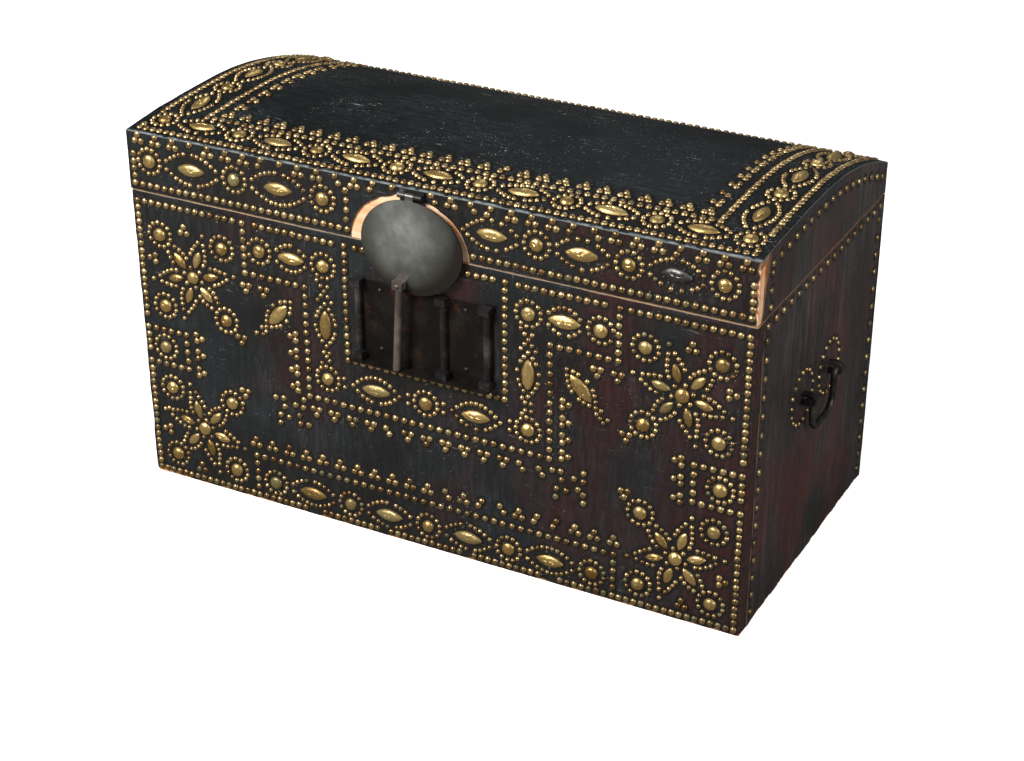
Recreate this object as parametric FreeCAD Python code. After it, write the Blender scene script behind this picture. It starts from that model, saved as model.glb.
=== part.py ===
import FreeCAD, Part
import math
import os
import random

# A low wooden chest under leather, studded all over with brass tacks and bosses.
# The origin is the middle of its footprint on the floor, +Z is up, and the front looks along -Y.
# All sizes are in millimetres.

vec = FreeCAD.Vector

# Overall sizes, measured over the leather
WIDTH = 950.0
DEPTH = 480.0
BODY_HEIGHT = 460.0
LID_FRONT_HEIGHT = 90.0
LID_BACK_HEIGHT = 48.0
CROWN_RISE = 11.0
CROWN_SHARE = 0.45
SEAM_GAP = 0.8

# Boards and leather
BOARD = 15.0
STAVE = 12.0
STAVE_COUNT = 5
LEATHER = 2.0
LEATHER_LIFT = 1.5
RETURN_WIDTH = 24.0
TORN_TOP = 28.0
TORN_FOOT = 13.0
TORN_MARGIN = 4.0
TAIL_PITCH = 78.0
TAIL_SHOULDER = 0.27
TAIL_TIP = 0.34

# Brass work
TACK = 10.0
TACK_HEIGHT = 3.2
SMALL_TACK = 7.3
SMALL_TACK_HEIGHT = 2.8
ROUND_BOSS = 20.0
ROUND_BOSS_HEIGHT = 6.0
ALMOND_LENGTH = 46.0
ALMOND_WIDTH = 19.0
ALMOND_HEIGHT = 5.5
PETAL_LENGTH = 28.0
PETAL_WIDTH = 13.0
PETAL_HEIGHT = 4.0
SHANK = 1.6
SHANK_LENGTH = 9.0
HEAD_GAP = 0.2
HAND_WOBBLE = 0.45
RING_RADIUS = 18.5
RING_COUNT = 13
WIDE_PITCH = 14.2
CLOSE_PITCH = 12.4
EDGE_PITCH = 11.2
SMALL_PITCH = 7.9
END_PITCH = 27.0

# Where the studded pattern lies on the front of the body
EDGE_MARGIN = 9.0
SEAM_MARGIN = 15.0
LOCK_FRAME = 0.1295 * WIDTH
LOCK_FRAME_FOOT = 0.591 * BODY_HEIGHT
OUTER_FRAME = 0.303 * WIDTH
OUTER_ARM_LEVEL = 0.802 * BODY_HEIGHT
OUTER_COLUMN = 0.2 * WIDTH
OUTER_FOOT = 0.4305 * BODY_HEIGHT
CHAIN_COLUMN = 0.166 * WIDTH
CHAIN_TOP = 0.885 * BODY_HEIGHT
CHAIN_MIDDLE = 0.69 * BODY_HEIGHT
CHAIN_FOOT = 0.508 * BODY_HEIGHT
CHAIN_SIDE = 0.276 * WIDTH
LEAF_ACROSS = 0.248 * WIDTH
LEAF_LEVEL = 0.687 * BODY_HEIGHT
LEAF_TURN = 48.0
LEAF_HALF_LENGTH = 32.0
LEAF_HALF_WIDTH = 15.0
LEAF_TAIL = (39.0, 46.5, 54.0)
LEAF_TAIL_SPREAD = 4.2
STAR_MARGIN = 96.5
STAR_TOP = 0.743 * BODY_HEIGHT
STAR_FOOT = 0.208 * BODY_HEIGHT
STAR_RING_ACROSS = 53.0
STAR_RING_UP = 56.0
PETAL_REACH = 31.0
PETAL_START = 47.0
STAR_OUTLINE = ((72.0, 0.0), (66.0, 4.0), (58.5, 4.6), (50.5, 8.0), (43.0, 11.0), (35.0, 12.6), (27.0, 12.0))
STAR_HEART = 15.5
STAR_SIDE_TRIPLE = (67.0, 17.0)
STAR_FOOT_TRIPLE = (11.0, 70.0)
STAR_HEAD_TRIPLE = (77.0, 80.0)
SIDE_BOX = 76.0
SIDE_BOX_LEVEL = 0.473 * BODY_HEIGHT
SIDE_BOX_HALF = 28.0
SIDE_BOX_TRIPLES = 21.0
BAND_TRIPLES = 0.209 * BODY_HEIGHT
BAND_ROW = 0.163 * BODY_HEIGHT
BAND_CHAIN = 0.0785 * BODY_HEIGHT
BAND_CHAIN_HALF = 0.27 * WIDTH
BAND_CHAIN_LINKS = 9
CROSS_ACROSS = 0.233 * WIDTH
CROSS_LEVEL = 0.36 * BODY_HEIGHT
CROSS_ARMS = (40, 140, 220, 320)
CROSS_REACHES = (12.0, 21.5, 31.0)
CROSS_SPREAD = 4.8
TRIPLE_PITCH = 29.5
TRIPLE_DROP = 22.0
LENS_HALF_WIDTH = 20.0
UPRIGHT_LENS_HALF = 33.0
UPRIGHT_LENS_WIDTH = 16.5
FOOT_LENS_SHARE = 0.62
UPPER_WAIST = 15.0
LOWER_WAIST = 12.0
WAIST_SHIFT = 7.0
FOOT_WAIST = 9.0
FOOT_WAIST_PLACES = (0.235, 0.77)

# Where the pattern lies on the lid, measured from the seam and from the lid's edges
LID_CHAIN_LEVEL = 0.52 * LID_FRONT_HEIGHT
LID_ROW_LEVEL = 10.5
LID_TRIPLE_DROP = 12.0
LID_COLUMN_GAP = 5.5
LID_COLUMN_DROP = 12.0
LID_LEFT_LENS = 23.0
LID_RIGHT_LENS = 21.0
LID_LEFT_CHAIN = 36.0
LID_RIGHT_CHAIN = 46.0
LID_LEFT_LINKS = 5
LID_RIGHT_LINKS = 6
TOP_ROW = 13.0
TOP_CHAIN = 47.0
TOP_INNER_ROW = 76.0
TOP_TRIPLES = 95.0
TOP_CHAIN_LINKS = 15
TOP_CHAIN_MARGIN = 34.0
TOP_ROW_STOP = 26.0
END_ROW = 15.0
END_CHAIN = 47.0
END_INNER_ROW = 86.0
END_TRIPLES = 110.0
END_CHAIN_LINKS = 7
ARCH_ROW_DROP = 22.0

# Where the plain rows lie on the ends and the back
END_FRONT_ROW = 36.0
END_BACK_ROW = 18.0
END_SEAM_ROW = 13.0
END_STOP = 20.0
LID_END_FRONT = 40.0
LID_END_PITCH = 19.0
BACK_ROW = 18.0
BACK_FOOT_ROW = 16.0
LID_BACK_ROW = 12.0

# Lock plate, its bars and the hasp
PLATE_HALF = 107.0
PLATE_OVER_FRAME = 12.14
PLATE = 2.0
FLANGE_REACH = 19.0
FLANGE = 2.5
BAR_INSET = 8.0
MIDDLE_BAR = 33.0
BAR_PLACES = (BAR_INSET - PLATE_HALF, MIDDLE_BAR, PLATE_HALF - BAR_INSET)
BAR_WIDTH = 10.0
BAR_DEPTH = 8.0
CAP_WIDTH = 16.0
CAP_HEIGHT = 10.0
CAP_DEPTH = 13.0
CAP_OVER_PLATE = 2.0
COVER_ACROSS = -12.0
COVER_HALF_WIDTH = 77.0
COVER_HALF_HEIGHT = 67.0
COVER_BELOW_HINGE = 5.0
COVER_OVER_CAP = 4.24
COVER_STANDOFF = 19.0
COVER_DOME = 9.0
COVER_THICK = 2.5
HASP_BAR_ACROSS = -28.5
HASP_BAR_TILT = 3.4
HASP_BAR_LAP = 21.5
HASP_BAR_LIFT = 2.0
HASP_HEAD_WIDTH = 15.0
HASP_HEAD_HEIGHT = 12.0
HASP_HEAD_PROUD = 2.0
HASP_HINGE_ACROSS = -13.0
HASP_HINGE_WIDTH = 36.0
HASP_HINGE_DROP = 9.0
HASP_LEAF_FOOT = 27.0
HASP_BARREL = 4.0
HASP_PIN = 1.75
HASP_STRAP = 14.0
HASP_LEAF_DROP = 2.0
CUTOUT_ACROSS = -20.0
CUTOUT_HALF = 91.0
CUTOUT_RISE = 0.85 * LID_FRONT_HEIGHT

# Back hinges
HINGE_PLACES = (-0.32 * WIDTH, 0.32 * WIDTH)
HINGE_WIDTH = 44.0
HINGE_BODY_LEAF = 62.0
HINGE_LID_LEAF = 34.0
HINGE_LEAF = 2.5
HINGE_BARREL = 5.0
HINGE_PIN = 2.5
HINGE_LAP = 1.0
PIN_CLEARANCE = 0.05
KNUCKLE_GAP = 0.3

# Handles on the two ends
HANDLE_BELOW_SEAM = 185.0
HANDLE_HALF = 52.0
HANDLE_MIDDLE = -3.0
HANDLE_BAR = 4.6
HANDLE_DROP = 54.0
HANDLE_BEND = 22.0
ELBOW_EASE = 0.9
ARM_CLEARANCE = 0.5
STUB_OVERHANG = 11.0
EAR_REACH = 21.0
EAR_STRAP = 4.0
EAR_WIDTH = 11.0
EAR_LEG = 13.0
EAR_CLEARANCE = 0.1
EAR_RING = 39.0
EAR_RING_COUNT = 17

# Iron nails
NAIL = 7.5
NAIL_HEIGHT = 2.6
PLATE_NAIL_ACROSS = 66.0
PLATE_NAIL_LOW = 20.0
PLATE_NAIL_HIGH = 12.0
HASP_NAIL_INSET = 6.0
HINGE_NAIL_SHARE = 0.29
HINGE_NAILS_LOW = (12.0, 36.0)
HINGE_NAIL_HIGH = 10.0
RIVET_SPARE = 3.0

# Lines that the parts share
HALF = WIDTH / 2
FRONT = -DEPTH / 2
BACK = DEPTH / 2
LID_FOOT = BODY_HEIGHT + SEAM_GAP
CROWN_Y = FRONT + CROWN_SHARE * DEPTH
CROWN_Z = BODY_HEIGHT + LID_FRONT_HEIGHT + CROWN_RISE
BACK_FALL = LID_FRONT_HEIGHT + CROWN_RISE - LID_BACK_HEIGHT
INNER_HALF = HALF - LEATHER - BOARD
INNER_FRONT = FRONT + LEATHER + BOARD
INNER_BACK = BACK - LEATHER - BOARD
SKIN_HALF = HALF - LEATHER
SKIN_FRONT = FRONT + LEATHER
SKIN_BACK = BACK - LEATHER
PLATE_FACE = FRONT - PLATE
SEAM_TACKS = BODY_HEIGHT - SEAM_MARGIN
HASP_AXIS_Y = FRONT - PLATE - HASP_BARREL
HASP_AXIS_Z = BODY_HEIGHT + LID_FRONT_HEIGHT - HASP_HINGE_DROP
COVER_MIDDLE = HASP_AXIS_Z - COVER_BELOW_HINGE - COVER_HALF_HEIGHT
COVER_TO_CAP = (MIDDLE_BAR - CAP_WIDTH / 2 - COVER_ACROSS) / COVER_HALF_WIDTH
COVER_EDGE_OVER_CAP = COVER_MIDDLE - COVER_HALF_HEIGHT * math.sqrt(1 - COVER_TO_CAP ** 2)
PLATE_TOP = COVER_EDGE_OVER_CAP - COVER_OVER_CAP - CAP_OVER_PLATE
PLATE_FOOT = LOCK_FRAME_FOOT + PLATE_OVER_FRAME
HASP_BAR_TOP = COVER_MIDDLE - COVER_HALF_HEIGHT + HASP_BAR_LAP
HASP_BAR_LENGTH = HASP_BAR_TOP - PLATE_FOOT - FLANGE - HASP_BAR_LIFT
HINGE_AXIS_Y = BACK + HINGE_LEAF + HINGE_BARREL
HANDLE_AXIS = HALF + EAR_REACH - EAR_STRAP - EAR_CLEARANCE - HANDLE_BAR
HANDLE_LEVEL = BODY_HEIGHT - HANDLE_BELOW_SEAM
HANDLE_ELBOW = HANDLE_BAR + ELBOW_EASE
HANDLE_ARM = HANDLE_HALF - EAR_WIDTH / 2 - ARM_CLEARANCE - HANDLE_ELBOW


def arc_radius(half_chord, rise):
    """The radius of an arc that rises by this much over half its chord."""
    return (half_chord ** 2 + rise ** 2) / (2 * rise)


FRONT_ARC = arc_radius(CROWN_Y - FRONT, CROWN_RISE)
BACK_ARC = arc_radius(BACK - CROWN_Y, BACK_FALL)


def block(x0, x1, y0, y1, z0, z1):
    """A rectangular block between two opposite corners."""
    return Part.makeBox(x1 - x0, y1 - y0, z1 - z0, vec(x0, y0, z0))


def outline(points):
    """The straight edges that join these points in turn and come back to the first."""
    return Part.makePolygon(points + [points[0]])


def prism(points, along):
    """A solid drawn out from a closed flat outline."""
    return Part.Face(outline(points)).extrude(along)


def bored(solid, point, along, radius):
    """The solid with a round hole through it."""
    return solid.cut(Part.makeCylinder(radius, along.Length, point, along))


def save(name, solids):
    """Write one named sub-part, which may be a set of like pieces."""
    shape = solids[0]
    if len(solids) > 1:
        shape = Part.makeCompound(solids)
    shape.exportStep("parts/" + name + ".step")


# Carcass

def dovetail_tails(side, y0, y1):
    """The tails at one end of a front or back board: wider at the tip than at the shoulder."""
    count = max(2, round(BODY_HEIGHT / TAIL_PITCH))
    pitch = BODY_HEIGHT / count
    tails = []
    for number in range(count):
        middle = pitch * (number + 0.5)
        shoulder = pitch * TAIL_SHOULDER
        tip = pitch * TAIL_TIP
        corners = [
            vec(side * INNER_HALF, y0, middle - shoulder),
            vec(side * SKIN_HALF, y0, middle - tip),
            vec(side * SKIN_HALF, y0, middle + tip),
            vec(side * INNER_HALF, y0, middle + shoulder),
        ]
        tails.append(prism(corners, vec(0, y1 - y0, 0)))
    return tails


def body_long_board(y0, y1):
    """The front or the back board of the body, with tails at both ends."""
    middle = block(-INNER_HALF, INNER_HALF, y0, y1, 0, BODY_HEIGHT)
    tails = dovetail_tails(-1, y0, y1) + dovetail_tails(1, y0, y1)
    return middle.multiFuse(tails).removeSplitter()


def body_end_board(side):
    """An end board of the body, cut away where the tails of the long boards pass through it."""
    x0, x1 = sorted((side * INNER_HALF, side * SKIN_HALF))
    board = block(x0, x1, SKIN_FRONT, SKIN_BACK, 0, BODY_HEIGHT)
    tails = dovetail_tails(side, SKIN_FRONT, INNER_FRONT) + dovetail_tails(side, INNER_BACK, SKIN_BACK)
    return board.cut(tails)


def make_body_boards():
    save("body_front_board", [body_long_board(SKIN_FRONT, INNER_FRONT)])
    save("body_back_board", [body_long_board(INNER_BACK, SKIN_BACK)])
    save("body_left_board", [body_end_board(-1)])
    save("body_right_board", [body_end_board(1)])
    save("bottom_board", [block(-INNER_HALF, INNER_HALF, INNER_FRONT, INNER_BACK, 0, BOARD)])


def make_body_leathers():
    """One hide for the front that laps round both corners, and one each for the ends and the back."""
    front = block(-HALF, HALF, FRONT, SKIN_FRONT, LEATHER_LIFT, BODY_HEIGHT)
    lap_back = SKIN_FRONT + RETURN_WIDTH
    left_lap = block(-HALF, -SKIN_HALF, SKIN_FRONT, lap_back, LEATHER_LIFT, BODY_HEIGHT)
    right_lap = block(SKIN_HALF, HALF, SKIN_FRONT, lap_back, LEATHER_LIFT, BODY_HEIGHT)
    save("body_front_leather", [front.multiFuse([left_lap, right_lap]).removeSplitter()])
    save("body_back_leather", [block(-HALF, HALF, SKIN_BACK, BACK, LEATHER_LIFT, BODY_HEIGHT)])
    save("body_left_leather", [block(-HALF, -SKIN_HALF, lap_back, SKIN_BACK, LEATHER_LIFT, BODY_HEIGHT)])
    save("body_right_leather", [block(SKIN_HALF, HALF, lap_back, SKIN_BACK, LEATHER_LIFT, BODY_HEIGHT)])


# Lid

def arch_edges(y0, y1, inset, x):
    """The arched outline from one depth to another, split where the two arcs meet at the crown."""
    stops = [y0]
    if y0 < CROWN_Y < y1:
        stops.append(CROWN_Y)
    stops.append(y1)
    edges = []
    for start, end in zip(stops, stops[1:]):
        middle = (start + end) / 2
        points = [vec(x, y, arc_level(y, inset, middle)) for y in (start, middle, end)]
        edges.append(Part.Arc(*points).toShape())
    return edges


def arc_level(y, inset, inside):
    """The outline's height at this depth, on the arc that covers the depth called inside."""
    radius = FRONT_ARC if inside < CROWN_Y else BACK_ARC
    return CROWN_Z - radius + math.sqrt((radius - inset) ** 2 - (y - CROWN_Y) ** 2)


def line(start, end):
    return Part.makeLine(start, end)


def under_dome(y0, y1, inset, x0, x1):
    """A piece that stands on the seam and is trimmed above to the lid's arch."""
    arch = arch_edges(y0, y1, inset, x0)
    first = arch[0].Vertexes[0].Point
    last = arch[-1].Vertexes[-1].Point
    foot_first = vec(x0, y0, LID_FOOT)
    foot_last = vec(x0, y1, LID_FOOT)
    edges = [line(foot_first, first)] + arch + [line(last, foot_last), line(foot_last, foot_first)]
    return Part.Face(Part.Wire(edges)).extrude(vec(x1 - x0, 0, 0))


def dome_band(y0, y1, inset_out, inset_in, x0, x1):
    """A curved piece that follows the lid's arch between two depths."""
    outer = arch_edges(y0, y1, inset_out, x0)
    inner = arch_edges(y0, y1, inset_in, x0)
    closing = [
        line(outer[0].Vertexes[0].Point, inner[0].Vertexes[0].Point),
        line(outer[-1].Vertexes[-1].Point, inner[-1].Vertexes[-1].Point),
    ]
    wire = Part.Wire(Part.__sortEdges__(outer + inner + closing))
    return Part.Face(wire).extrude(vec(x1 - x0, 0, 0))


def make_lid_boards():
    """A shallow box of four boards whose end boards carry the arch, closed by staves."""
    under_staves = LEATHER + STAVE
    save("lid_front_board", [under_dome(SKIN_FRONT, INNER_FRONT, under_staves, -SKIN_HALF, SKIN_HALF)])
    save("lid_back_board", [under_dome(INNER_BACK, SKIN_BACK, under_staves, -SKIN_HALF, SKIN_HALF)])
    save("lid_left_board", [under_dome(INNER_FRONT, INNER_BACK, under_staves, -SKIN_HALF, -INNER_HALF)])
    save("lid_right_board", [under_dome(INNER_FRONT, INNER_BACK, under_staves, INNER_HALF, SKIN_HALF)])
    stave_width = (SKIN_BACK - SKIN_FRONT) / STAVE_COUNT
    for number in range(STAVE_COUNT):
        y0 = SKIN_FRONT + number * stave_width
        stave = dome_band(y0, y0 + stave_width, LEATHER, under_staves, -SKIN_HALF, SKIN_HALF)
        save("lid_stave_%d" % (number + 1), [stave])


def upright_oval(across, level, half_width, half_height, y0, y1):
    """An oval prism seen full face from the front."""
    middle = vec(across, y0, level)
    ends = [middle + vec(half_width, 0, 0), middle + vec(0, 0, half_height)]
    if half_height > half_width:
        ends.reverse()
    rim = Part.Ellipse(ends[0], ends[1], middle)
    return Part.Face(Part.Wire(rim.toShape())).extrude(vec(0, y1 - y0, 0))


def lock_cutout():
    """The round-headed window in the lid's front leather that lays bare the wood behind the hasp."""
    return upright_oval(CUTOUT_ACROSS, LID_FOOT, CUTOUT_HALF, CUTOUT_RISE, FRONT - LEATHER, SKIN_FRONT)


def torn_corner():
    """The wedge of leather lost from the front edge of the lid's right end."""
    top = CROWN_Z + LEATHER
    corners = [
        vec(SKIN_HALF - LEATHER, FRONT - LEATHER, LID_FOOT - LEATHER),
        vec(SKIN_HALF - LEATHER, FRONT + TORN_FOOT, LID_FOOT - LEATHER),
        vec(SKIN_HALF - LEATHER, FRONT + TORN_TOP, top),
        vec(SKIN_HALF - LEATHER, FRONT - LEATHER, top),
    ]
    return prism(corners, vec(3 * LEATHER, 0, 0))


def make_lid_leathers():
    front = under_dome(FRONT, SKIN_FRONT, LEATHER, -HALF, HALF - TORN_MARGIN)
    save("lid_front_leather", [front.cut(lock_cutout())])
    save("lid_back_leather", [under_dome(SKIN_BACK, BACK, LEATHER, -HALF, HALF)])
    save("lid_left_leather", [under_dome(SKIN_FRONT, SKIN_BACK, LEATHER, -HALF, -SKIN_HALF)])
    right = under_dome(SKIN_FRONT, SKIN_BACK, LEATHER, SKIN_HALF, HALF)
    save("lid_right_leather", [right.cut(torn_corner())])
    save("lid_top_leather", [dome_band(FRONT, BACK, 0, LEATHER, -HALF, HALF)])


# Tacks and bosses

def studded_head(width, height, shank, length):
    """A domed head on a tapered shank, turned about the shank's axis."""
    radius = width / 2
    slope = arc_radius(radius, height)
    half_angle = math.asin(radius / slope) / 2
    shoulder = vec(slope * math.sin(half_angle), 0, height - slope + slope * math.cos(half_angle))
    top = vec(0, 0, height)
    rim = vec(radius, 0, 0)
    neck = vec(shank / 2, 0, 0)
    tip = vec(0, 0, -length)
    edges = [
        Part.Arc(top, shoulder, rim).toShape(),
        line(rim, neck),
        line(neck, tip),
        line(tip, top),
    ]
    return Part.Face(Part.Wire(edges)).revolve(vec(0, 0, 0), vec(0, 0, 1), 360)


def almond_head(length, width, height):
    """A pointed, ridged dome: the part shared by two balls set side by side, cut off at the base."""
    half_length = length / 2
    half_width = width / 2
    base = (half_length ** 2 + half_width ** 2) / (2 * half_width)
    aside = base - half_width
    top = (half_length ** 2 / height + height) / 2
    radius = math.sqrt(top ** 2 + aside ** 2)
    low = vec(0, -aside, height - top)
    high = vec(0, aside, height - top)
    shared = Part.makeSphere(radius, low).common(Part.makeSphere(radius, high))
    dome = shared.common(block(-length, length, -length, length, 0, length))
    shank = Part.makeCylinder(SHANK, SHANK_LENGTH, vec(0, 0, -SHANK_LENGTH))
    return dome.fuse(shank).removeSplitter()


def turned(angle, across, up):
    """A point given along and across a direction, turned by an angle in degrees."""
    cosine = math.cos(math.radians(angle))
    sine = math.sin(math.radians(angle))
    return across * cosine - up * sine, across * sine + up * cosine


class Studding:
    """The places of tacks and bosses on one panel; nothing is set where it would touch a neighbour."""

    def __init__(self, kept_clear, seed):
        self.kept_clear = kept_clear
        self.hand = random.Random(seed)
        self.tacks = []
        self.small_tacks = []
        self.rounds = []
        self.almonds = []
        self.petals = []
        self.taken = []

    def is_free(self, across, up, radius):
        """True where a disc of this radius is clear of all that is already set."""
        if self.kept_clear(across, up, radius):
            return False
        for other_across, other_up, other_radius in self.taken:
            gap = radius + other_radius + HEAD_GAP
            if abs(other_across - across) < gap and abs(other_up - up) < gap:
                if math.hypot(other_across - across, other_up - up) < gap:
                    return False
        return True

    def wobble(self):
        return self.hand.uniform(-HAND_WOBBLE, HAND_WOBBLE)

    def tack(self, across, up):
        across += self.wobble()
        up += self.wobble()
        if self.is_free(across, up, TACK / 2):
            self.tacks.append((across, up, 0))
            self.taken.append((across, up, TACK / 2))

    def small_tack(self, across, up):
        across += self.wobble() / 2
        up += self.wobble() / 2
        if self.is_free(across, up, SMALL_TACK / 2):
            self.small_tacks.append((across, up, 0))
            self.taken.append((across, up, SMALL_TACK / 2))

    def round_boss(self, across, up):
        if self.is_free(across, up, ROUND_BOSS / 2):
            self.rounds.append((across, up, 0))
            self.taken.append((across, up, ROUND_BOSS / 2))

    def pointed_boss(self, across, up, turn, length, width, places):
        """An almond or petal: it takes up a row of discs that shrink towards its two points."""
        discs = []
        for share in (-0.8, -0.5, 0.0, 0.5, 0.8):
            shift, rise = turned(turn, share * length / 2, 0)
            radius = width / 2 * (1 - share ** 2) + 0.3
            discs.append((across + shift, up + rise, radius))
        if all(self.is_free(*disc) for disc in discs):
            places.append((across, up, turn))
            self.taken.extend(discs)

    def almond(self, across, up, turn):
        self.pointed_boss(across, up, turn, ALMOND_LENGTH, ALMOND_WIDTH, self.almonds)

    def petal(self, across, up, turn):
        self.pointed_boss(across, up, turn, PETAL_LENGTH, PETAL_WIDTH, self.petals)

    def row(self, start, end, pitch):
        """A straight row of tacks from one point to another."""
        length = math.hypot(end[0] - start[0], end[1] - start[1])
        steps = max(1, round(length / pitch))
        for number in range(steps + 1):
            share = number / steps
            self.tack(start[0] + share * (end[0] - start[0]), start[1] + share * (end[1] - start[1]))

    def ring(self, across, up, radius, count):
        """Small tacks evenly round a circle."""
        for number in range(count):
            shift, rise = turned(360 * (number + 0.5) / count, radius, 0)
            self.small_tack(across + shift, up + rise)

    def ringed_round(self, across, up):
        self.round_boss(across, up)
        self.ring(across, up, RING_RADIUS, RING_COUNT)

    def triple(self, across, up, turn):
        """Three tacks in a tight triangle, one of them pointing along the turn."""
        reach = (TACK + 2 * HEAD_GAP + HAND_WOBBLE) / math.sqrt(3)
        for corner in (0, 120, 240):
            shift, rise = turned(turn + corner, reach, 0)
            self.tack(across + shift, up + rise)

    def triples(self, start, end, pitch, turn):
        """A row of triples from one point to another."""
        length = math.hypot(end[0] - start[0], end[1] - start[1])
        steps = max(1, round(length / pitch))
        for number in range(steps + 1):
            share = number / steps
            across = start[0] + share * (end[0] - start[0])
            self.triple(across, start[1] + share * (end[1] - start[1]), turn)

    def lens(self, across, up, turn, half_length, half_width):
        """Two bowed rows of small tacks that meet at both tips."""
        steps = max(6, round(2.15 * half_length / SMALL_PITCH))
        for number in range(steps + 1):
            along = -1 + 2 * number / steps
            bow = half_width * (1 - along ** 2)
            for side in (1, -1):
                shift, rise = turned(turn, along * half_length, side * bow)
                self.small_tack(across + shift, up + rise)

    def hourglass(self, across, up, turn, half_length):
        """The pinched cluster of small tacks that fills a waist between two outlines."""
        steps = max(1, round(half_length / SMALL_PITCH))
        for number in range(-steps, steps + 1):
            along = number * half_length / steps
            aside = abs(along) * 0.75
            for side in (1, -1):
                shift, rise = turned(turn, along, side * aside)
                self.small_tack(across + shift, up + rise)

    def chain(self, places, turn, half_width):
        """Ringed rounds and outlined almonds by turns, starting and ending as given by their kinds."""
        for kind, across, up, room in places:
            if kind == "round":
                self.ringed_round(across, up)
            else:
                self.almond(across, up, turn)
        for kind, across, up, room in places:
            if kind == "almond":
                self.lens(across, up, turn, room, half_width)


def linked(start, end, count, first_kind):
    """Evenly spaced places for a chain, with the room that each outline has between two rings."""
    kinds = ("round", "almond") if first_kind == "round" else ("almond", "round")
    places = []
    for number in range(count):
        share = number / (count - 1)
        across = start[0] + share * (end[0] - start[0])
        up = start[1] + share * (end[1] - start[1])
        step = math.hypot(end[0] - start[0], end[1] - start[1]) / (count - 1)
        room = step - RING_RADIUS - SMALL_TACK / 2
        places.append((kinds[number % 2], across, up, room))
    return places


def behind_lock(across, up, radius):
    """True where the lock plate or the hasp hides the front."""
    on_plate = abs(across) < PLATE_HALF + radius and PLATE_FOOT - radius - FLANGE < up
    below_top = up < PLATE_TOP + radius
    aside = (across - COVER_ACROSS) / (COVER_HALF_WIDTH + radius)
    above = (up - COVER_MIDDLE) / (COVER_HALF_HEIGHT + radius)
    return (on_plate and below_top) or aside ** 2 + above ** 2 < 1


def stud_corner_star(studding, side, level, lift):
    """A six-petalled star with four ringed rounds about it and a triple in each open corner."""
    across = side * (HALF - STAR_MARGIN)
    studding.ringed_round(across + side * STAR_RING_ACROSS, level - lift * STAR_RING_UP)
    studding.ringed_round(across - side * STAR_RING_ACROSS, level + lift * STAR_RING_UP)
    studding.ringed_round(across + side * STAR_RING_ACROSS, level + lift * STAR_RING_UP)
    studding.ringed_round(across - side * STAR_RING_ACROSS, level - lift * STAR_RING_UP)
    studding.round_boss(across, level)
    for number in range(6):
        shift, rise = turned(PETAL_START + 60 * number, PETAL_REACH, 0)
        turn = math.degrees(math.atan2(lift * rise, -side * shift))
        studding.petal(across - side * shift, level + lift * rise, turn)
    for number in range(6):
        inward = PETAL_START + 60 * number
        for reach, spread in STAR_OUTLINE:
            for swing in (1, -1):
                shift, rise = turned(inward, reach, swing * spread)
                studding.small_tack(across - side * shift, level + lift * rise)
        shift, rise = turned(inward + 30, STAR_HEART, 0)
        studding.small_tack(across - side * shift, level + lift * rise)
    side_across, side_drop = STAR_SIDE_TRIPLE
    foot_across, foot_drop = STAR_FOOT_TRIPLE
    head_across, head_lift = STAR_HEAD_TRIPLE
    studding.triple(across + side * side_across, level - lift * side_drop, 90 - side * 90)
    studding.triple(across + side * foot_across, level - lift * foot_drop, 90)
    studding.triple(across - side * head_across, level + lift * head_lift, 90 + lift * 180)


def stud_leaf(studding, side):
    """A slanting outlined leaf beside the outer frame, with a tail that runs down and outwards."""
    across = side * LEAF_ACROSS
    turn = 90 + side * (90 - LEAF_TURN)
    studding.almond(across, LEAF_LEVEL, turn)
    studding.lens(across, LEAF_LEVEL, turn, LEAF_HALF_LENGTH, LEAF_HALF_WIDTH)
    for reach in LEAF_TAIL:
        for swing in (1, -1):
            shift, rise = turned(turn, -reach, swing * LEAF_TAIL_SPREAD)
            studding.small_tack(across + shift, LEAF_LEVEL + rise)


def stud_cross(studding, side):
    """A diagonal cross of paired tacks."""
    for arm in CROSS_ARMS:
        for reach in CROSS_REACHES:
            for swing in (1, -1):
                shift, rise = turned(arm, reach, swing * CROSS_SPREAD)
                studding.tack(side * CROSS_ACROSS + shift, CROSS_LEVEL + rise)


def stud_side_box(studding, side):
    """The small box of tacks between two corner stars, round one ringed boss."""
    inner = side * (HALF - SIDE_BOX)
    edge = side * (HALF - EDGE_MARGIN)
    low = SIDE_BOX_LEVEL - SIDE_BOX_HALF
    high = SIDE_BOX_LEVEL + SIDE_BOX_HALF
    middle = side * (HALF - SIDE_BOX / 2)
    studding.ringed_round(middle, SIDE_BOX_LEVEL)
    studding.row((edge, high), (inner, high), CLOSE_PITCH)
    studding.row((edge, low), (inner, low), CLOSE_PITCH)
    studding.row((inner, low), (inner, high), WIDE_PITCH)
    for level in (low, SIDE_BOX_LEVEL, high):
        studding.triple(inner - side * SIDE_BOX_TRIPLES, level, 90 + side * 90)


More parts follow.
